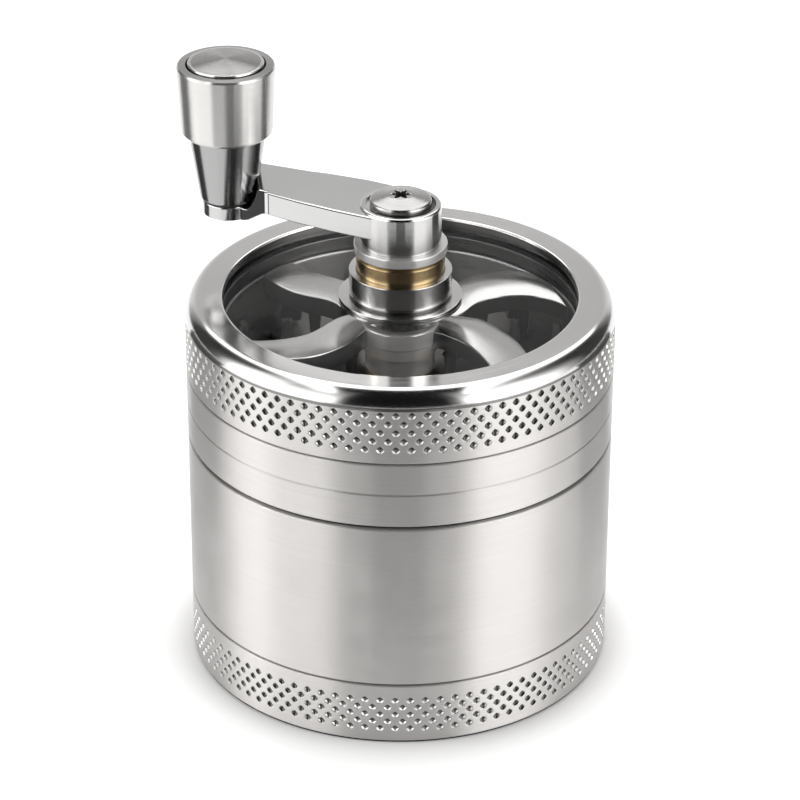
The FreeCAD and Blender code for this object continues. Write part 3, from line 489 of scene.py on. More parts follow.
def screw_wall(s, r_root, r_crest, z0, z1, pitch, starts, mat, segs=240, rows=56):
    """A wall with a screw thread on it, running out at both ends."""
    zs = np.linspace(z0, z1, rows)
    th = np.arange(segs) * TAU / segs
    Z, T = np.meshgrid(zs, th, indexing="ij")
    ph = ((Z - z0) / pitch - starts * T / TAU) % 1.0
    ridge = np.clip((0.34 - np.abs(ph - 0.5)) / 0.20, 0.0, 1.0)
    ridge = ridge * ridge * (3 - 2 * ridge)
    ends = np.clip((Z - z0) / 0.5, 0, 1) * np.clip((z1 - Z) / 0.5, 0, 1)
    r = r_root + (r_crest - r_root) * ridge * ends
    s.grid(np.stack([r * np.cos(T), r * np.sin(T), Z], -1), mat, close_v=True)


# ------------------------------------------------------------------ base cup
def base_cup():
    s = Soup()
    top = 9.75
    rows = [7.29 - 1.2 * k for k in range(5)]
    z_hi, z_lo = 7.29 + 0.6, 7.29 - 4.5 * 1.2
    # the foot step takes the near-black colour: a painted contact shadow along the bottom edge
    s.lathe([(0, 0), (31.1, 0), (31.3, 0.06), (31.3, 0.3), (31.4, 0.36)], 180, 3, closed=False)
    s.lathe([(31.4, 0.36), (31.47, 0.4), (31.5, 0.5), (31.5, z_lo)], 180, 0, closed=False)
    knurl(s, 31.5, rows, 1.2, 0.59, 0.565, 0.38, 90, 0, 1, 4)
    up = rounded([(31.5, z_hi), (31.5, top, 0.22), (28.9, top, 0.12), (28.9, 9.55)])
    s.lathe(up, 180, 0, closed=False)
    s.lathe(rounded([(28.9, 6.0), (28.9, 5.9), (27.2, 5.9, 0.2), (27.2, 1.8, 2.2), (0, 1.8)]), 180, 2, closed=False)
    screw_wall(s, 28.9, 29.2, 6.0, 9.55, 1.25, 2, 2, segs=180)
    return place(s.make("base_cup_knurled", [M["satin"], M["dent"], M["satin_in"], M["foot"], M["pit"]]), "base_cup")


def storage_chamber():
    s = Soup()
    L, H = 10.05, 35.85
    s.lathe(rounded([(28.4, 10.05), (31.5, L, 0.22), (31.5, H, 0.22), (28.9, H, 0.12), (28.9, 35.6)]), 360, 0, closed=False)
    screw_wall(s, 28.9, 29.2, 31.75, 35.6, 1.25, 2, 1, segs=360)
    s.lathe(rounded([(28.9, 31.75), (28.9, 31.6), (28.0, 31.6, 0.15), (28.0, 12.4), (25.5, 12.4, 0.1), (25.5, 11.4, 0.1), (26.0, 11.4),
                     (26.0, 6.2, 0.15), (28.4, 6.2, 0.3), (28.4, 6.4)]), 360, 1, closed=False)
    screw_wall(s, 28.4, 28.68, 6.4, 10.05, 1.25, 2, 1, segs=360)
    return place(s.make("storage_chamber_wall", [M["satin"], M["satin_in"]]), "storage_chamber")


def lid_ring():
    s = Soup()
    L, H = 46.6, 55.35
    rows = [54.23 - 1.36 * k for k in range(5)]
    z_hi, z_lo = 54.23 + 0.68, 54.23 - 4.5 * 1.36
    s.lathe(rounded([(28.75, L + 0.05), (28.75, L, 0.15), (31.5, L, 0.22), (31.5, z_lo)]), 180, 0, closed=False)
    knurl(s, 31.5, rows, 1.36, 0.61, 0.62, 0.42, 90, 0, 1, 3)
    s.lathe(rounded([(31.5, z_hi), (31.5, H, 0.12), (27.5, H, 0.1), (27.5, 54.8), (26.1, 54.8, 0.12), (26.1, 52.8, 0.12),
                     (28.75, 52.8), (28.75, L + 0.05)]), 180, 2, closed=False)
    return place(s.make("lid_ring_knurled", [M["satin"], M["dent"], M["shade"], M["pit"]]), "lid_ring")


base_cup()
storage_chamber()
lid_ring()

turned("base_seal", "base_seal_ring", [(29.1, 9.75), (30.7, 9.75, 0.1), (30.7, 10.05, 0.1), (29.1, 10.05)], [M["rubber"]], 240)
turned("chamber_seal", "chamber_seal_ring", [(29.1, 35.85), (30.8, 35.85, 0.15), (30.8, 36.4, 0.15), (29.1, 36.4)], [M["rubber"]], 240)
turned("slip_ring", "slip_ring_flat", [(28.75, 46.35), (30.7, 46.35, 0.08), (30.7, 46.6, 0.08), (28.75, 46.6)], [M["slip"]], 240)
turned("sieve_ring", "sieve_ring_turned", [(26.4, 12.7, 0.1), (27.9, 12.7, 0.1), (27.9, 14.2, 0.2), (26.4, 14.2, 0.35)], [M["steel"]], 240)
def grinding_ring():
    s = Soup()
    s.lathe(rounded([(28.4, 46.35), (31.5, 46.35, 0.22), (31.5, 41.6, 0.22), (27.35, 41.6)]), 360, 0, closed=False)
    s.lathe(rounded([(27.35, 41.6), (27.35, 45.25), (25.9, 45.25), (25.9, 52.5, 0.35), (28.4, 52.5, 0.35), (28.4, 46.35)]), 360, 1, closed=False)
    return place(s.make("grinding_ring_turned", [M["satin"], M["satin_in"]]), "grinding_ring")


grinding_ring()


def bezel():
    """Flat ring, then an edge that rolls over into a wide shoulder which leans right down to the seam."""
    pts = []
    c1, r1 = (29.36, 57.75 - 1.55), 1.55
    for w in np.linspace(90, 57, 8):
        pts.append((c1[0] + r1 * math.cos(math.radians(w)), c1[1] + r1 * math.sin(math.radians(w))))
    end = (31.62, 55.46)
    x0, z0 = pts[-1]
    w0, w1 = math.radians(57), math.radians(11)
    # the shoulder's slope falls evenly from 57 to 11 degrees between the edge and the foot
    ws = np.linspace(w0, w1, 22)
    xs = np.concatenate([[0], np.cumsum(np.sin((ws[1:] + ws[:-1]) / 2))])
    zs = np.concatenate([[0], np.cumsum(np.cos((ws[1:] + ws[:-1]) / 2))])
    kx, kz = (end[0] - x0) / xs[-1], (z0 - end[1]) / zs[-1]
    pts += [(x0 + x * kx, z0 - z * kz) for x, z in zip(xs[1:], zs[1:])]
    pts += [(31.5, 55.36), (31.35, 55.35), (27.5, 55.35), (27.5, 56.6), (25.95, 56.6), (25.95, 57.45), (26.0, 57.62), (26.12, 57.72), (26.3, 57.75)]
    s = Soup()
    k = len(pts)
    s.lathe(pts, 512, [1 if k - 7 <= i <= k - 5 else 0 for i in range(k)])
    return place(s.make("bezel_polished", [M["polish"], M["shade"]], 40.0), "bezel")


bezel()
turned("window_gasket", "window_gasket_flat", [(26.3, 54.8), (27.4, 54.8), (27.4, 55.0), (26.3, 55.0)], [M["rubber"]], 200)
turned("window", "window_clear", [(4.7, 55.0, 0.15), (27.4, 55.0, 0.15), (27.4, 56.6, 0.15), (4.7, 56.6, 0.15)], [M["clear"]], 240)
turned("bearing_housing", "bearing_housing_chrome",
       [(3.9, 54.0), (4.6, 54.0, 0.15), (4.6, 56.6), (9.0, 56.6, 0.04), (9.05, 56.66, 0.04), (9.05, 57.02), (8.9, 57.08), (8.9, 57.14), (9.05, 57.2), (9.05, 57.7, 0.09), (7.42, 57.74, 0.04),
        (7.14, 57.8), (7.14, 58.16), (7.52, 58.22, 0.05), (7.52, 61.7, 0.08), (6.52, 61.74, 0.04), (6.52, 60.2), (3.9, 60.2)],
       [M["chrome"], M["shade"]], 256, step=8.0, dark=((7.0, 7.3, 57.78, 58.18), (8.88, 8.95, 57.05, 57.16)))
turned("bearing_nut", "bearing_nut_round", [(4.6, 53.95), (5.6, 53.95, 0.25), (5.6, 55.0, 0.1), (4.6, 55.0)], [M["chrome"]], 200)
turned("brass_bush", "brass_bush_turned",
       [(3.04, 54.0), (3.9, 54.0, 0.1), (3.9, 60.2), (6.3, 60.2, 0.05), (6.3, 61.35, 0.05), (6.45, 61.45, 0.05), (6.45, 64.0, 0.12), (6.15, 64.3, 0.1), (3.04, 64.3, 0.1)], [M["brass"]], 256, step=8.0)
turned("spring_washer", "spring_washer_flat", [(3.1, 64.35), (5.9, 64.35, 0.1), (5.9, 64.65, 0.1), (3.1, 64.65)], [M["steel"]], 160)
turned("hub_washer", "hub_washer_chrome", [(3.05, 64.7), (6.8, 64.7, 0.12), (6.8, 66.0, 0.1), (3.05, 66.0)], [M["washer"]], 256, step=8.0)
turned("thrust_washer", "thrust_washer_flat", [(3.05, 53.5), (4.5, 53.5, 0.1), (4.5, 53.85, 0.1), (3.05, 53.85)], [M["slip"]], 120)


# ------------------------------------------------------------------ crank: arm with hub and eye, lofted along its length
def crank_arm():
    s = Soup()
    c, d = math.cos(SWING), math.sin(SWING)
    low, top, eye_lo, eye_hi, eye_r = 68.1, 71.7, 65.4, 67.5, 3.86
    join = THROW - math.sqrt(eye_r ** 2 - 2.42 ** 2)

    def half(u, side):
        """Half width towards the front (side 1) or the back (side -1)."""
        if u > join:
            return math.sqrt(max(eye_r ** 2 - (u - THROW) ** 2, 1e-6))
        front = [(2.0, 5.55), (8.0, 5.42), (14.0, 4.95), (19.3, 4.22), (19.5, 3.86), (20.4, 3.78), (22.3, 3.3), (join, 2.42)]
        rear = [(2.0, 5.55), (4.4, 5.85), (8.0, 6.05), (14.0, 5.65), (20.0, 4.8), (23.4, 4.1), (24.2, 3.2), (join, 2.42)]
        pts = front if side > 0 else rear
        return float(np.interp(u, [p[0] for p in pts], [p[1] for p in pts]))

    def upper(u):
        pts = [(20.5, top), (20.95, top - 0.07), (21.2, 71.4), (21.45, 70.9), (21.75, 70.1), (22.1, 69.35), (22.55, 68.6), (23.0, 68.05), (23.45, 67.65), (23.95, eye_hi)]
        return top if u < 20.5 else eye_hi if u > 23.95 else float(np.interp(u, [p[0] for p in pts], [p[1] for p in pts]))

    def lower(u):
        pts = [(19.3, low), (20.0, 67.98), (20.6, 67.72), (21.9, 66.85), (23.2, 65.95), (24.1, 65.55), (24.9, eye_lo)]
        return low if u < 19.3 else eye_lo if u > 24.9 else float(np.interp(u, [p[0] for p in pts], [p[1] for p in pts]))

    def slant(u, y, z):
        """The step down to the eye runs round the knob: further along at the back than at the front."""
        w = min(1.0, max(0.0, (u - 17.0) / 3.5)) * min(1.0, max(0.0, (z - eye_hi) / 2.0))
        out = u + 0.60 * (3.0 - y) * w if y < 3.0 else u
        if z > eye_hi + 0.06:
            keep = 3.95 if z < 67.85 else 4.44 + 0.149 * (z - 67.9)
            if abs(y) < keep:
                out = min(out, THROW - math.sqrt(keep * keep - y * y))
        return out

    us = list(np.linspace(2.0, 19.0, 26)) + [19.15, 19.3, 19.4, 19.5, 19.75] + list(np.linspace(20.02, 24.9, 48))
    us += [THROW + eye_r * math.cos(a) for a in np.linspace(math.radians(138), 0.02, 40) if THROW + eye_r * math.cos(a) > 24.92]
    bevel = 0.14
    rings = []
    for u in us:
        zt, zb = upper(u), lower(u)
        b = min(bevel, half(u, 1) * 0.4)
        # cross-section, counter-clockwise seen from the eye
        ring = []
        for sy, z0, sz, a0 in ((1, zb, 1, -90), (1, zt, -1, 0), (-1, zt, -1, 90), (-1, zb, 1, 180)):
            cy, cz = sy * (half(u, sy) - b), z0 + sz * b
            arc = [(cy + b * math.cos(math.radians(a0 + 30 * k)), cz + b * math.sin(math.radians(a0 + 30 * k))) for k in range(4)]
            before, after = math.radians(a0 - 90), math.radians(a0 + 180)
            near = 0.17 if (sy, sz) == (1, -1) else 0.05
            ring.append((arc[0][0] + near * math.cos(before), arc[0][1] + near * math.sin(before)))
            ring += arc
            ring.append((arc[3][0] + 0.05 * math.cos(after), arc[3][1] + 0.05 * math.sin(after)))
        rings.append([(slant(u, y, z) * c - y * d, slant(u, y, z) * d + y * c, z) for y, z in ring])
    P = np.array(rings)
    k = P.shape[1]
    sides = (4, 5, 6, 16, 17, 18)

    # side faces: a darker copy of the arm metal (3); near-black (4) on the neck, in a thin band at u 19.1-19.35 and in
    # a strip under the front top edge; the arm's own lighter metal (0) in a bar at u 19.35-19.9: painted shade, painted
    # dark lines and a painted highlight
    def painted_shade_and_highlight(u, j):
        if j not in sides:
            return 0
        if j == 6 and u < 24.7 or 19.1 < u < 19.35 or 19.9 < u < 24.7:
            return 4
        return 0 if 19.3 < u < 20.0 else 3

    s.grid(P, [painted_shade_and_highlight(u, j) for u in us[:-1] for j in range(k)], close_v=True)
    s.add(P[0], [list(range(k))], 0)
    s.add(P[-1], [list(range(k))], 0)
    # hub with a groove for the screw head
    ring = rounded([(3.2, 66.0), (5.83, 66.0, 0.04), (5.83, 66.14, 0.03), (5.93, 66.2, 0.05), (5.93, 72.1, 0.5), (5.12, 72.1, 0.1), (5.05, 71.2), (4.4, 71.2), (4.4, 71.8), (3.2, 71.8)], 8.0)
    s.lathe(ring, 256, [2 if p[0] < 5.1 and p[1] > 71.1 else 1 for p in ring])
    s.lathe(rounded([(1.46, 69.8), (3.2, 69.8), (3.2, 71.8), (1.46, 71.8)]), 120, 1)
    return place(s.make("crank_arm_cast", [M["arm"], M["hub"], M["shade"], M["arm_side_painted_shade"], M["arm_neck_painted_shade"]], sharp=35.0), "crank_arm")


def crank_screw():
    s = Soup()
    segs = 240
    th = np.arange(segs) * TAU / segs
    seat = 71.8
    outer = rounded([(1.45, seat), (4.49, seat, 0.1), (4.49, seat + 1.05, 0.5), (3.9, 73.02, 1.2), (1.9, 73.47)], 8.0)
    s.lathe(outer, segs, 0, closed=False)
    lob = 1.20 + 0.36 * np.cos(6 * th)

    def ring(r, z):
        r = np.broadcast_to(r, th.shape)
        return np.stack([r * np.cos(th), r * np.sin(th), np.full(segs, z)], -1)

    P = np.array([ring(1.9, 73.47), ring(lob + 0.06, 73.51), ring(lob, 73.45), ring(lob - 0.03, 73.3), ring(lob - 0.05, 72.45), ring(lob * 0.6, 72.4)])
    s.grid(P[:3], 0, close_v=True)
    s.grid(P[2:], 2, close_v=True)
    s.add(np.concatenate([ring(lob * 0.6, 72.4), [[0, 0, 72.38]]]), [[i, (i + 1) % segs, segs] for i in range(segs)], 2)
    s.lathe([(0, 62.6), (1.2, 62.6), (1.45, 62.85), (1.45, seat)], segs, 1, closed=False)
    return place(s.make("crank_screw_domed", [M["screw"], M["steel"], M["shade"]]), "crank_screw")


crank_arm()
crank_screw()


def spindle():
    s = Soup()
    s.lathe(rounded([(1.46, 53.5), (3.0, 53.5, 0.15), (3.0, 66.0, 0.15), (1.46, 66.0)]), 160, 0)
    for z0, z1 in ((66.0, 69.6), (49.6, 53.5)):
        k, q = 2.1, 0.35
        ring = [(k - q, -k), (k, -k + q), (k, k - q), (k - q, k), (-k + q, k), (-k, k - q), (-k, -k + q), (-k + q, -k)]
        out = np.array([[[x, y, z] for x, y in ring] for z in (z0, z1)])
        s.grid(out, 0, close_v=True)
        th = [math.atan2(y, x) for x, y in ring]
        inner = np.array([[[1.46 * math.cos(a), 1.46 * math.sin(a), z] for a in th] for z in (z0, z1)])
        s.grid(inner, 0, close_v=True)
        for e in (0, 1):
            s.grid(np.array([out[e], inner[e]]), 0, close_v=True)
    return place(s.make("spindle_squared", [M["steel"]], weld=False, outward=True), "spindle")


spindle()


# ------------------------------------------------------------------ rotor
# One outline per arm: radius, the clockwise edge and the counter-clockwise edge in degrees.
ARMS = [
    [(4.8, 8, 78), (7.0, 11, 70), (9.0, 15, 65), (10.1, 18.6, 63), (11.2, 23.3, 61), (12.5, 27.2, 59.3), (14.5, 29.5, 57.4), (16.9, 28.9, 55.4),
     (18.9, 26.9, 53.8), (20.9, 24.0, 51.6), (22.6, 20.4, 48.9), (23.8, 16.9, 46.3), (25.2, 11.4, 42.2)],
    [(4.8, -38, 30), (6.0, -34.5, 24), (7.3, -33.0, 17), (8.2, -33.8, 12.5), (9.3, -34.6, 9.7), (10.1, -35.1, 8.1), (11.7, -36.7, 3.9), (13.3, -38.9, -3.2),
     (15.2, -41.9, -11.0), (17.2, -44.9, -17.6), (19.0, -47.5, -23.1), (20.9, -50.2, -28.9), (23.0, -53.2, -35.4), (25.2, -56.5, -42.0)],
    [(4.8, 150, 215), (6.1, 158, 214.2), (7.5, 166.5, 218.9), (9.0, 175.5, 223.0), (10.2, 183.5, 225.0), (11.3, 190.0, 225.7), (12.6, 195.2, 225.8),
     (13.8, 198.2, 225.5), (15.3, 199.8, 224.8), (17.8, 200.2, 222.5), (19.7, 199.5, 219.7), (21.3, 198.5, 217.0), (22.6, 197.4, 214.6), (24.0, 196.0, 212.0), (25.2, 194.6, 209.6)],
    [(4.8, 100, 170), (7.0, 106, 166), (9.0, 112, 159.5), (10.3, 115.4, 154.0), (11.8, 118.4, 150.6), (13.5, 121.2, 150.3), (15.2, 123.9, 151.2),
     (17.6, 127.1, 151.4), (20.4, 129.7, 149.9), (22.1, 130.6, 148.3), (23.2, 131.0, 147.0), (25.2, 131.3, 144.6)],
]
CROWN = [0.55, 0.5, 0.26, 0.14]


def natural(points, xs):
    """Natural cubic through points, sampled at xs."""
    x = np.array([p[0] for p in points], float)
    y = np.array([p[1] for p in points], float)
    n = len(x)
    h = np.diff(x)
    A = np.zeros((n, n))
    b = np.zeros(n)
    A[0, 0] = A[-1, -1] = 1
    for i in range(1, n - 1):
        A[i, i - 1], A[i, i], A[i, i + 1] = h[i - 1], 2 * (h[i - 1] + h[i]), h[i]
        b[i] = 3 * ((y[i + 1] - y[i]) / h[i] - (y[i] - y[i - 1]) / h[i - 1])
    c = np.linalg.solve(A, b)
    out = []
    for v in xs:
        i = int(np.clip(np.searchsorted(x, v) - 1, 0, n - 2))
        d = (c[i + 1] - c[i]) / (3 * h[i])
        bb = (y[i + 1] - y[i]) / h[i] - h[i] * (2 * c[i] + c[i + 1]) / 3
        t = v - x[i]
        out.append(y[i] + bb * t + c[i] * t * t + d * t ** 3)
    return np.array(out)


def diamond_tooth(s, row, ang, z0, z1, mat, long=1.55, wide=1.1, taper=0.36):
    """Tapered diamond tooth standing from z0 to z1 with softened edges."""
    c, d = math.cos(ang), math.sin(ang)
    levels = []
    for f, k in ((0.0, 1.0), (0.93, 1.0 - taper * 0.95), (0.985, 1.0 - taper * 1.08), (1.0, 1.0 - taper * 1.4)):
        z = z0 + (z1 - z0) * f
        pts = []
        for a in range(24):
            w = TAU * a / 24
            # a diamond with rounded corners
            q = 1.0 / ((abs(math.cos(w)) ** 1.25 + abs(math.sin(w)) ** 1.25) ** (1 / 1.25))
            x, y = q * wide * k * math.cos(w), q * long * k * math.sin(w)
            pts.append(((row + x) * c - y * d, (row + x) * d + y * c, z))
        levels.append(pts)
    P = np.array(levels)
    s.grid(P, mat, close_v=True)
    s.add(P[-1], [list(range(24))], mat)


def rotor():
    s = Soup()
    top, low = 53.5, 50.4
    s.lathe(rounded([(3.6, 45.9), (5.15, 45.9, 0.2), (5.15, 48.9, 0.06), (5.62, 49.05, 0.08), (5.62, 50.75, 0.06), (5.85, 50.95, 0.1), (5.9, 53.5, 0.3), (2.95, 53.5), (2.95, 48.7),
                     (3.6, 48.7)], 8.0), 240, 2)
    r = np.concatenate([np.linspace(4.8, 24.4, 56), [24.7, 24.92, 25.08, 25.17, 25.2]])
    na = 33
    frac = 0.5 - 0.5 * np.cos(np.linspace(0, math.pi, na))
    rho, tip = 0.15, 0.3
    # the third arm's top takes the lighter copy (3) of the cast metal: painted light
    for table, rise, middle, top_mat in zip(ARMS, CROWN, (38.0, -35.0, 218.0, 145.0), (0, 0, 3, 0)):
        ta, la = natural([(p[0], p[1]) for p in table], r), natural([(p[0], p[2]) for p in table], r)
        A = np.radians(ta[:, None] + (la - ta)[:, None] * frac[None, :])
        width = r * np.radians(la - ta)
        d = np.minimum(frac, 1 - frac)[None, :] * width[:, None]
        drop = np.where(d < rho, rho - np.sqrt(np.maximum(rho ** 2 - (rho - np.minimum(d, rho)) ** 2, 0)), 0.0)
        e = (25.2 - r)[:, None]
        drop = np.maximum(drop, np.where(e < tip, tip - np.sqrt(np.maximum(tip ** 2 - (tip - np.minimum(e, tip)) ** 2, 0)), 0.0))
        crown = (rise * np.abs(2 * frac - 1) ** 2)[None, :] * np.ones_like(A)
        zt = top - np.minimum(drop * 0.9 + crown, 1.6)
        R = r[:, None] * np.ones_like(A)
        up = np.stack([R * np.cos(A), R * np.sin(A), zt], -1)
        dn = np.stack([R * np.cos(A), R * np.sin(A), np.full_like(A, low)], -1)
        s.grid(up, top_mat)
        s.grid(dn, 0, flip=True)
        # the arm walls and ends, like the teeth, take the dark colour (1): painted shade
        for side in (0, -1):
            wall = np.stack([dn[:, side], up[:, side]], 0)
            s.grid(wall, 1, flip=side == 0)
        s.grid(np.stack([dn[-1], up[-1]], 0), 1)
        for row, off in ((9.0, -0.5), (15.5, 0.3), (21.4, -8.0)):
            diamond_tooth(s, row, math.radians(middle + off), low + 0.02, 45.8, 1)
    return place(s.make("rotor_swept", [M["rotor"], M["tooth"], M["rotor_hub"], M["rotor_lit"]], sharp=40.0), "rotor")


rotor()
turned("rotor_screw", "rotor_screw_head", [(0, 47.3), (2.8, 47.3, 0.2), (2.8, 48.7, 0.1), (1.45, 48.7), (1.45, 54.4), (0, 54.4)], [M["steel"]], 120)
turned("rotor_magnet", "rotor_magnet_disc", [(0, 45.9), (3.6, 45.9, 0.2), (3.6, 47.3), (0, 47.3)], [M["plating"]], 160)
turned("plate_magnet", "plate_magnet_disc", [(0, 43.4), (4.0, 43.4), (4.0, 45.2, 0.2), (0, 45.2)], [M["plating"]], 160)

# ------------------------------------------------------------------ knob
turned("knob_pin", "knob_pin_riveted",
       [(0, 64.95), (2.6, 64.95, 0.35), (2.6, 65.4), (1.8, 65.4), (1.8, 67.5), (2.0, 67.5), (2.0, 84.9), (3.0, 84.9, 0.1), (3.0, 86.1, 0.2), (0, 86.1)],
       [M["steel"]], 160, KNOB)
turned("knob_washer", "knob_washer_flat", [(2.1, 67.5), (3.7, 67.5, 0.1), (3.7, 67.82, 0.1), (2.1, 67.82)], [M["slip"]], 160, KNOB)
turned("knob_bush", "knob_bush_sleeve", [(2.05, 67.9), (2.9, 67.9), (2.9, 84.75), (2.05, 84.75)], [M["slip"]], 120, KNOB)
turned("knob_body", "knob_body_taper",
       [(2.9, 67.9), (4.19, 67.9, 0.3), (5.68, 77.9, 0.1), (4.9, 77.9), (4.9, 84.75), (2.9, 84.75)], [M["knob_polish"]], 256, KNOB, step=8.0)
# the sleeve's top rim takes the second, darker colour: painted shade
turned("knob_sleeve", "knob_sleeve_satin",
       [(4.95, 78.1), (6.3, 78.1, 0.1), (6.72, 78.52, 0.2), (7.2, 88.42, 0.12), (6.98, 88.72, 0.1), (5.86, 88.8, 0.1), (5.86, 87.2), (4.95, 87.2), (4.95, 86.9)],
       [M["knob_satin"], M["knob_rim_painted_shade"]], 256, KNOB, step=8.0, dark=((5.0, 7.16, 87.3, 88.9),))


def knob_cap():
    s = Soup()
    rise, reach = 0.5, 5.2
    R = (reach ** 2 + rise ** 2) / (2 * rise)
    edge = rounded([(4.95, 86.3), (4.95, 86.9), (5.58, 86.9), (5.58, 89.1, 0.42), (5.16, 89.12)], 8.0)
    arc = [(x, 89.6 - (R - math.sqrt(R * R - x * x))) for x in np.linspace(5.1, 0.0, 26)]
    prof = [(0, 86.3)] + edge + arc
    # the dome takes the darker colour (0) and the rounded edge the lighter one (1): painted shade on the dome
    s.lathe(prof, 256, [1 if p[0] > 5.12 and p[1] > 88.4 else 0 for p in prof], KNOB)
    return place(s.make("knob_cap_spun", [M["knob_spun_painted_shade"], M["knob_edge"]], sharp=40.0), "knob_cap")


knob_cap()

# ------------------------------------------------------------------ CAD nodes that stay as they are get their own materials; the tooth plate's carries painted shade inside 29.8 mm
for node, mat in (("tooth_plate", "plate"), ("sieve_mesh", "steel")):
    o = frame["nodes"][node]
    o.data.materials.clear()
    o.data.materials.append(M[mat])

# ------------------------------------------------------------------ floor
bm = bmesh.new()
bmesh.ops.create_grid(bm, x_segments=4, y_segments=4, size=3.0)
me = bpy.data.meshes.new("floor")
bm.to_mesh(me)
bm.free()
floor = bpy.data.objects.new("floor", me)
bpy.context.scene.collection.objects.link(floor)
floor.location = (0, 0, -0.00002)
mat, n = new_material("floor_white")
tc = n.add("ShaderNodeTexCoord")
noise = n.add("ShaderNodeTexNoise", ins={"Vector": tc.outputs["Object"], "Scale": 30.0, "Detail": 2.0})
col = n.ramp(noise.outputs["Fac"], [(0.3, (0.62, 0.62, 0.62)), (0.7, (0.64, 0.64, 0.64))])
bsdf = n.add("ShaderNodeBsdfPrincipled", ins={"Base Color": col, "Roughness": 0.6})
bsdf.inputs["Emission Color"].default_value = (1, 1, 1, 1)
# the floor glows a little so that it stays white; the glow fades out within 30 to 60 mm of the axis, a painted shadow
# round the mill's foot that deepens the real contact shadow
flat = n.add("ShaderNodeVectorMath", operation="MULTIPLY", ins={0: tc.outputs["Object"], 1: (1.0, 1.0, 0.0)})
away = n.add("ShaderNodeVectorMath", operation="LENGTH", ins={0: flat.outputs[0]})
glow = n.ramp(n.math("MULTIPLY", away.outputs["Value"], 10.0), [(0.300, 0.05), (0.325, 0.18), (0.345, 0.32), (0.370, 0.44), (0.400, 0.53), (0.450, 0.60), (0.600, 0.62)])
n.put(bsdf, "Emission Strength", glow)
out = n.add("ShaderNodeOutputMaterial")
n.put(out, "Surface", bsdf.outputs[0])
me.materials.append(mat)

# ------------------------------------------------------------------ dark cards on the table, outside the picture
card = bpy.data.meshes.new("table_cards")
corners, cards = [], []
for a0, a1, near, far_off in ((-12, 12, 0.068, 0.17), (-37, 37, 0.17, 1.2), (97, 130, 0.100, 1.2), (-130, -97, 0.100, 1.2)):
    b0 = len(corners)
    ring = [a0 + (a1 - a0) * k / 12 for k in range(13)]
    for rr in (near, far_off):
        corners += [(rr * math.sin(math.radians(a)), -rr * math.cos(math.radians(a)), 0.0) for a in ring]
    cards += [[b0 + k, b0 + 13 + k, b0 + 14 + k, b0 + 1 + k] for k in range(12)]
card.from_pydata(corners, [], cards)
mat, n = new_material("card_dark")
tc = n.add("ShaderNodeTexCoord")
noise = n.add("ShaderNodeTexNoise", ins={"Vector": tc.outputs["Object"], "Scale": 20.0, "Detail": 2.0})
col = n.ramp(noise.outputs["Fac"], [(0.3, (0.03, 0.03, 0.03)), (0.7, (0.04, 0.04, 0.04))])
bsdf = n.add("ShaderNodeBsdfPrincipled", ins={"Base Color": col, "Roughness": 0.9})
out = n.add("ShaderNodeOutputMaterial")
n.put(out, "Surface", bsdf.outputs[0])
card.materials.append(mat)
mat, n = new_material("card_grey")
tc = n.add("ShaderNodeTexCoord")
noise = n.add("ShaderNodeTexNoise", ins={"Vector": tc.outputs["Object"], "Scale": 20.0, "Detail": 2.0})
col = n.ramp(noise.outputs["Fac"], [(0.3, (0.28, 0.28, 0.28)), (0.7, (0.32, 0.32, 0.32))])
bsdf = n.add("ShaderNodeBsdfPrincipled", ins={"Base Color": col, "Roughness": 0.9})
out = n.add("ShaderNodeOutputMaterial")
n.put(out, "Surface", bsdf.outputs[0])
card.materials.append(mat)
card.polygons.foreach_set("material_index", [1] * 12 + [0] * 36)
flag = bpy.data.objects.new("table_cards", card)
bpy.context.scene.collection.objects.link(flag)
flag.location = (0, 0, 0.0004)
flag.visible_camera = False
flag.visible_shadow = False

# ------------------------------------------------------------------ studio: soft boxes low at both sides, pale back, dark front
scene = bpy.context.scene
world = bpy.data.worlds.new("studio")
scene.world = world
world.use_nodes = True
n = Nodes(world.node_tree)
tc = n.add("ShaderNodeTexCoord")
sep = n.add("ShaderNodeSeparateXYZ")
n.put(sep, 0, tc.outputs["Generated"])
# azimuth 0 looks at the camera's side (-Y), 90 at +X; turn runs from 0 at -180 to 1 at +180
azimuth = n.math("ARCTAN2", sep.outputs[0], n.math("MULTIPLY", sep.outputs[1], -1.0))
turn = n.math("ADD", n.math("DIVIDE", azimuth, TAU), 0.5)
height = n.math("DIVIDE", n.math("ARCSINE", sep.outputs[2], clamp=False), math.radians(90.0), clamp=True)


def around(table, top):
    return n.math("MULTIPLY", n.ramp(turn, [((a + 180.0) / 360.0, v / top) for a, v in table]), top)


def upward(table, top):
    return n.math("MULTIPLY", n.ramp(height, [(a / 90.0, v / top) for a, v in table]), top)


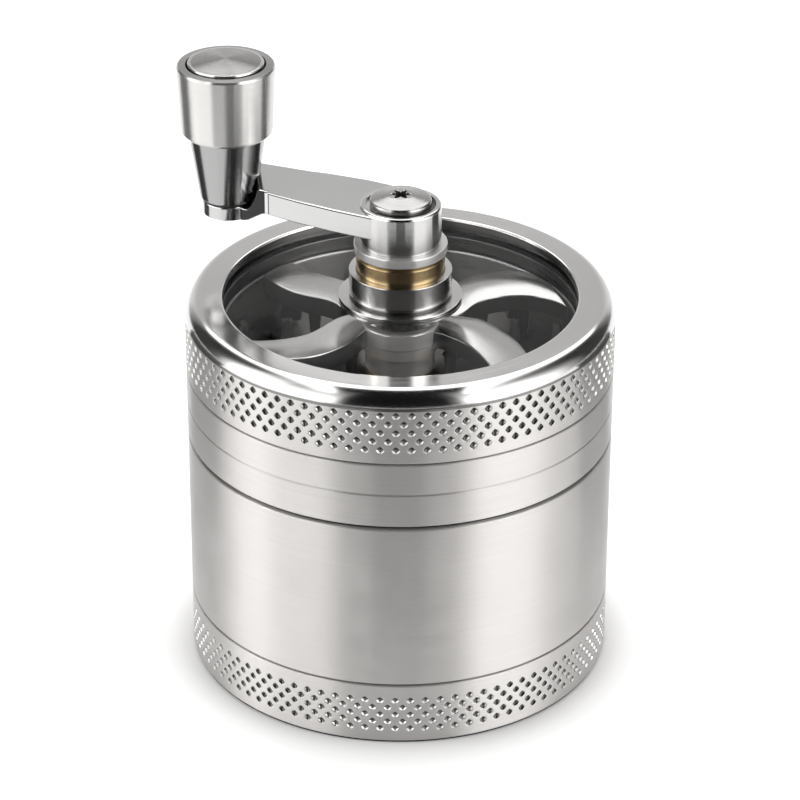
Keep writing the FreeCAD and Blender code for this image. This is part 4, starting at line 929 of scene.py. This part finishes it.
BOXES = [(-150, 0.0), (-142, 0.25), (-134, 0.03), (-116, 0.03), (-106, 0.1), (-98, 0.8), (-90, 2.8), (-74, 3.2), (-66, 1.8), (-36, 1.8), (-30, 0.12), (-26, 0.0),
         (24, 0.0), (30, 0.2), (36, 1.8), (44, 3.0), (70, 3.0), (82, 1.3), (96, 0.35), (108, 0.03), (134, 0.03), (144, 0.25), (150, 0.0)]
BACK = [(-180, 1.0), (-150, 1.0), (-142, 0.0), (142, 0.0), (150, 1.0), (180, 1.0)]
box = n.math("MULTIPLY", around(BOXES, 4.0), upward([(0, 1.62), (20, 1.62), (28, 1.15), (36, 0.7), (46, 0.35), (58, 0.1), (70, 0.0)], 2.0))
rear = n.math("MULTIPLY", around(BACK, 1.0), upward([(4, 1.0), (18, 0.8), (29, 0.62), (34, 0.48), (42, 0.26), (60, 0.15)], 1.0))
# a soft box overhead, behind the mill: seen by edges that lean back, not by flat tops
pitch = n.math("DIVIDE", n.math("ARCTAN2", sep.outputs[2], sep.outputs[1]), math.radians(1.0))
reach = n.math("SUBTRACT", pitch, n.math("MULTIPLY", n.smooth(n.math("ABSOLUTE", sep.outputs[0]), 0.24, 0.46), 42.0))
lid = n.math("MULTIPLY", n.smooth(pitch, 32.0, 39.0), n.smooth(reach, 86.0, 78.0))
wide = n.smooth(n.math("ABSOLUTE", sep.outputs[0]), 0.62, 0.45)
over = n.math("MULTIPLY", n.math("MULTIPLY", lid, wide), 2.3)
level = n.math("ADD", n.math("ADD", n.math("ADD", box, rear), over), 0.008)
bg = n.add("ShaderNodeBackground", ins={"Color": (1.0, 0.995, 0.985, 1.0), "Strength": level})
out = n.add("ShaderNodeOutputWorld")
n.put(out, "Surface", bg.outputs[0])

scene.view_settings.view_transform = "Standard"
scene.view_settings.look = "None"

# ------------------------------------------------------------------ camera
cam = bpy.data.cameras.new("camera")
cam.sensor_width = 36.0
cam.sensor_fit = "HORIZONTAL"
cam.lens = 153.99
cam.clip_start = 0.01
cam.clip_end = 20.0
camera = bpy.data.objects.new("camera", cam)
right = Vector((0.99999288, 0.00179604, 0.00331973))
upv = Vector((-0.00377443, 0.47583944, 0.87952407))
back = right.cross(upv)
rot = Matrix((right, upv, back)).transposed()
camera.matrix_world = Matrix.Translation((0.0, -0.446833, 0.2815807)) @ rot.to_4x4()
scene.collection.objects.link(camera)
scene.camera = camera
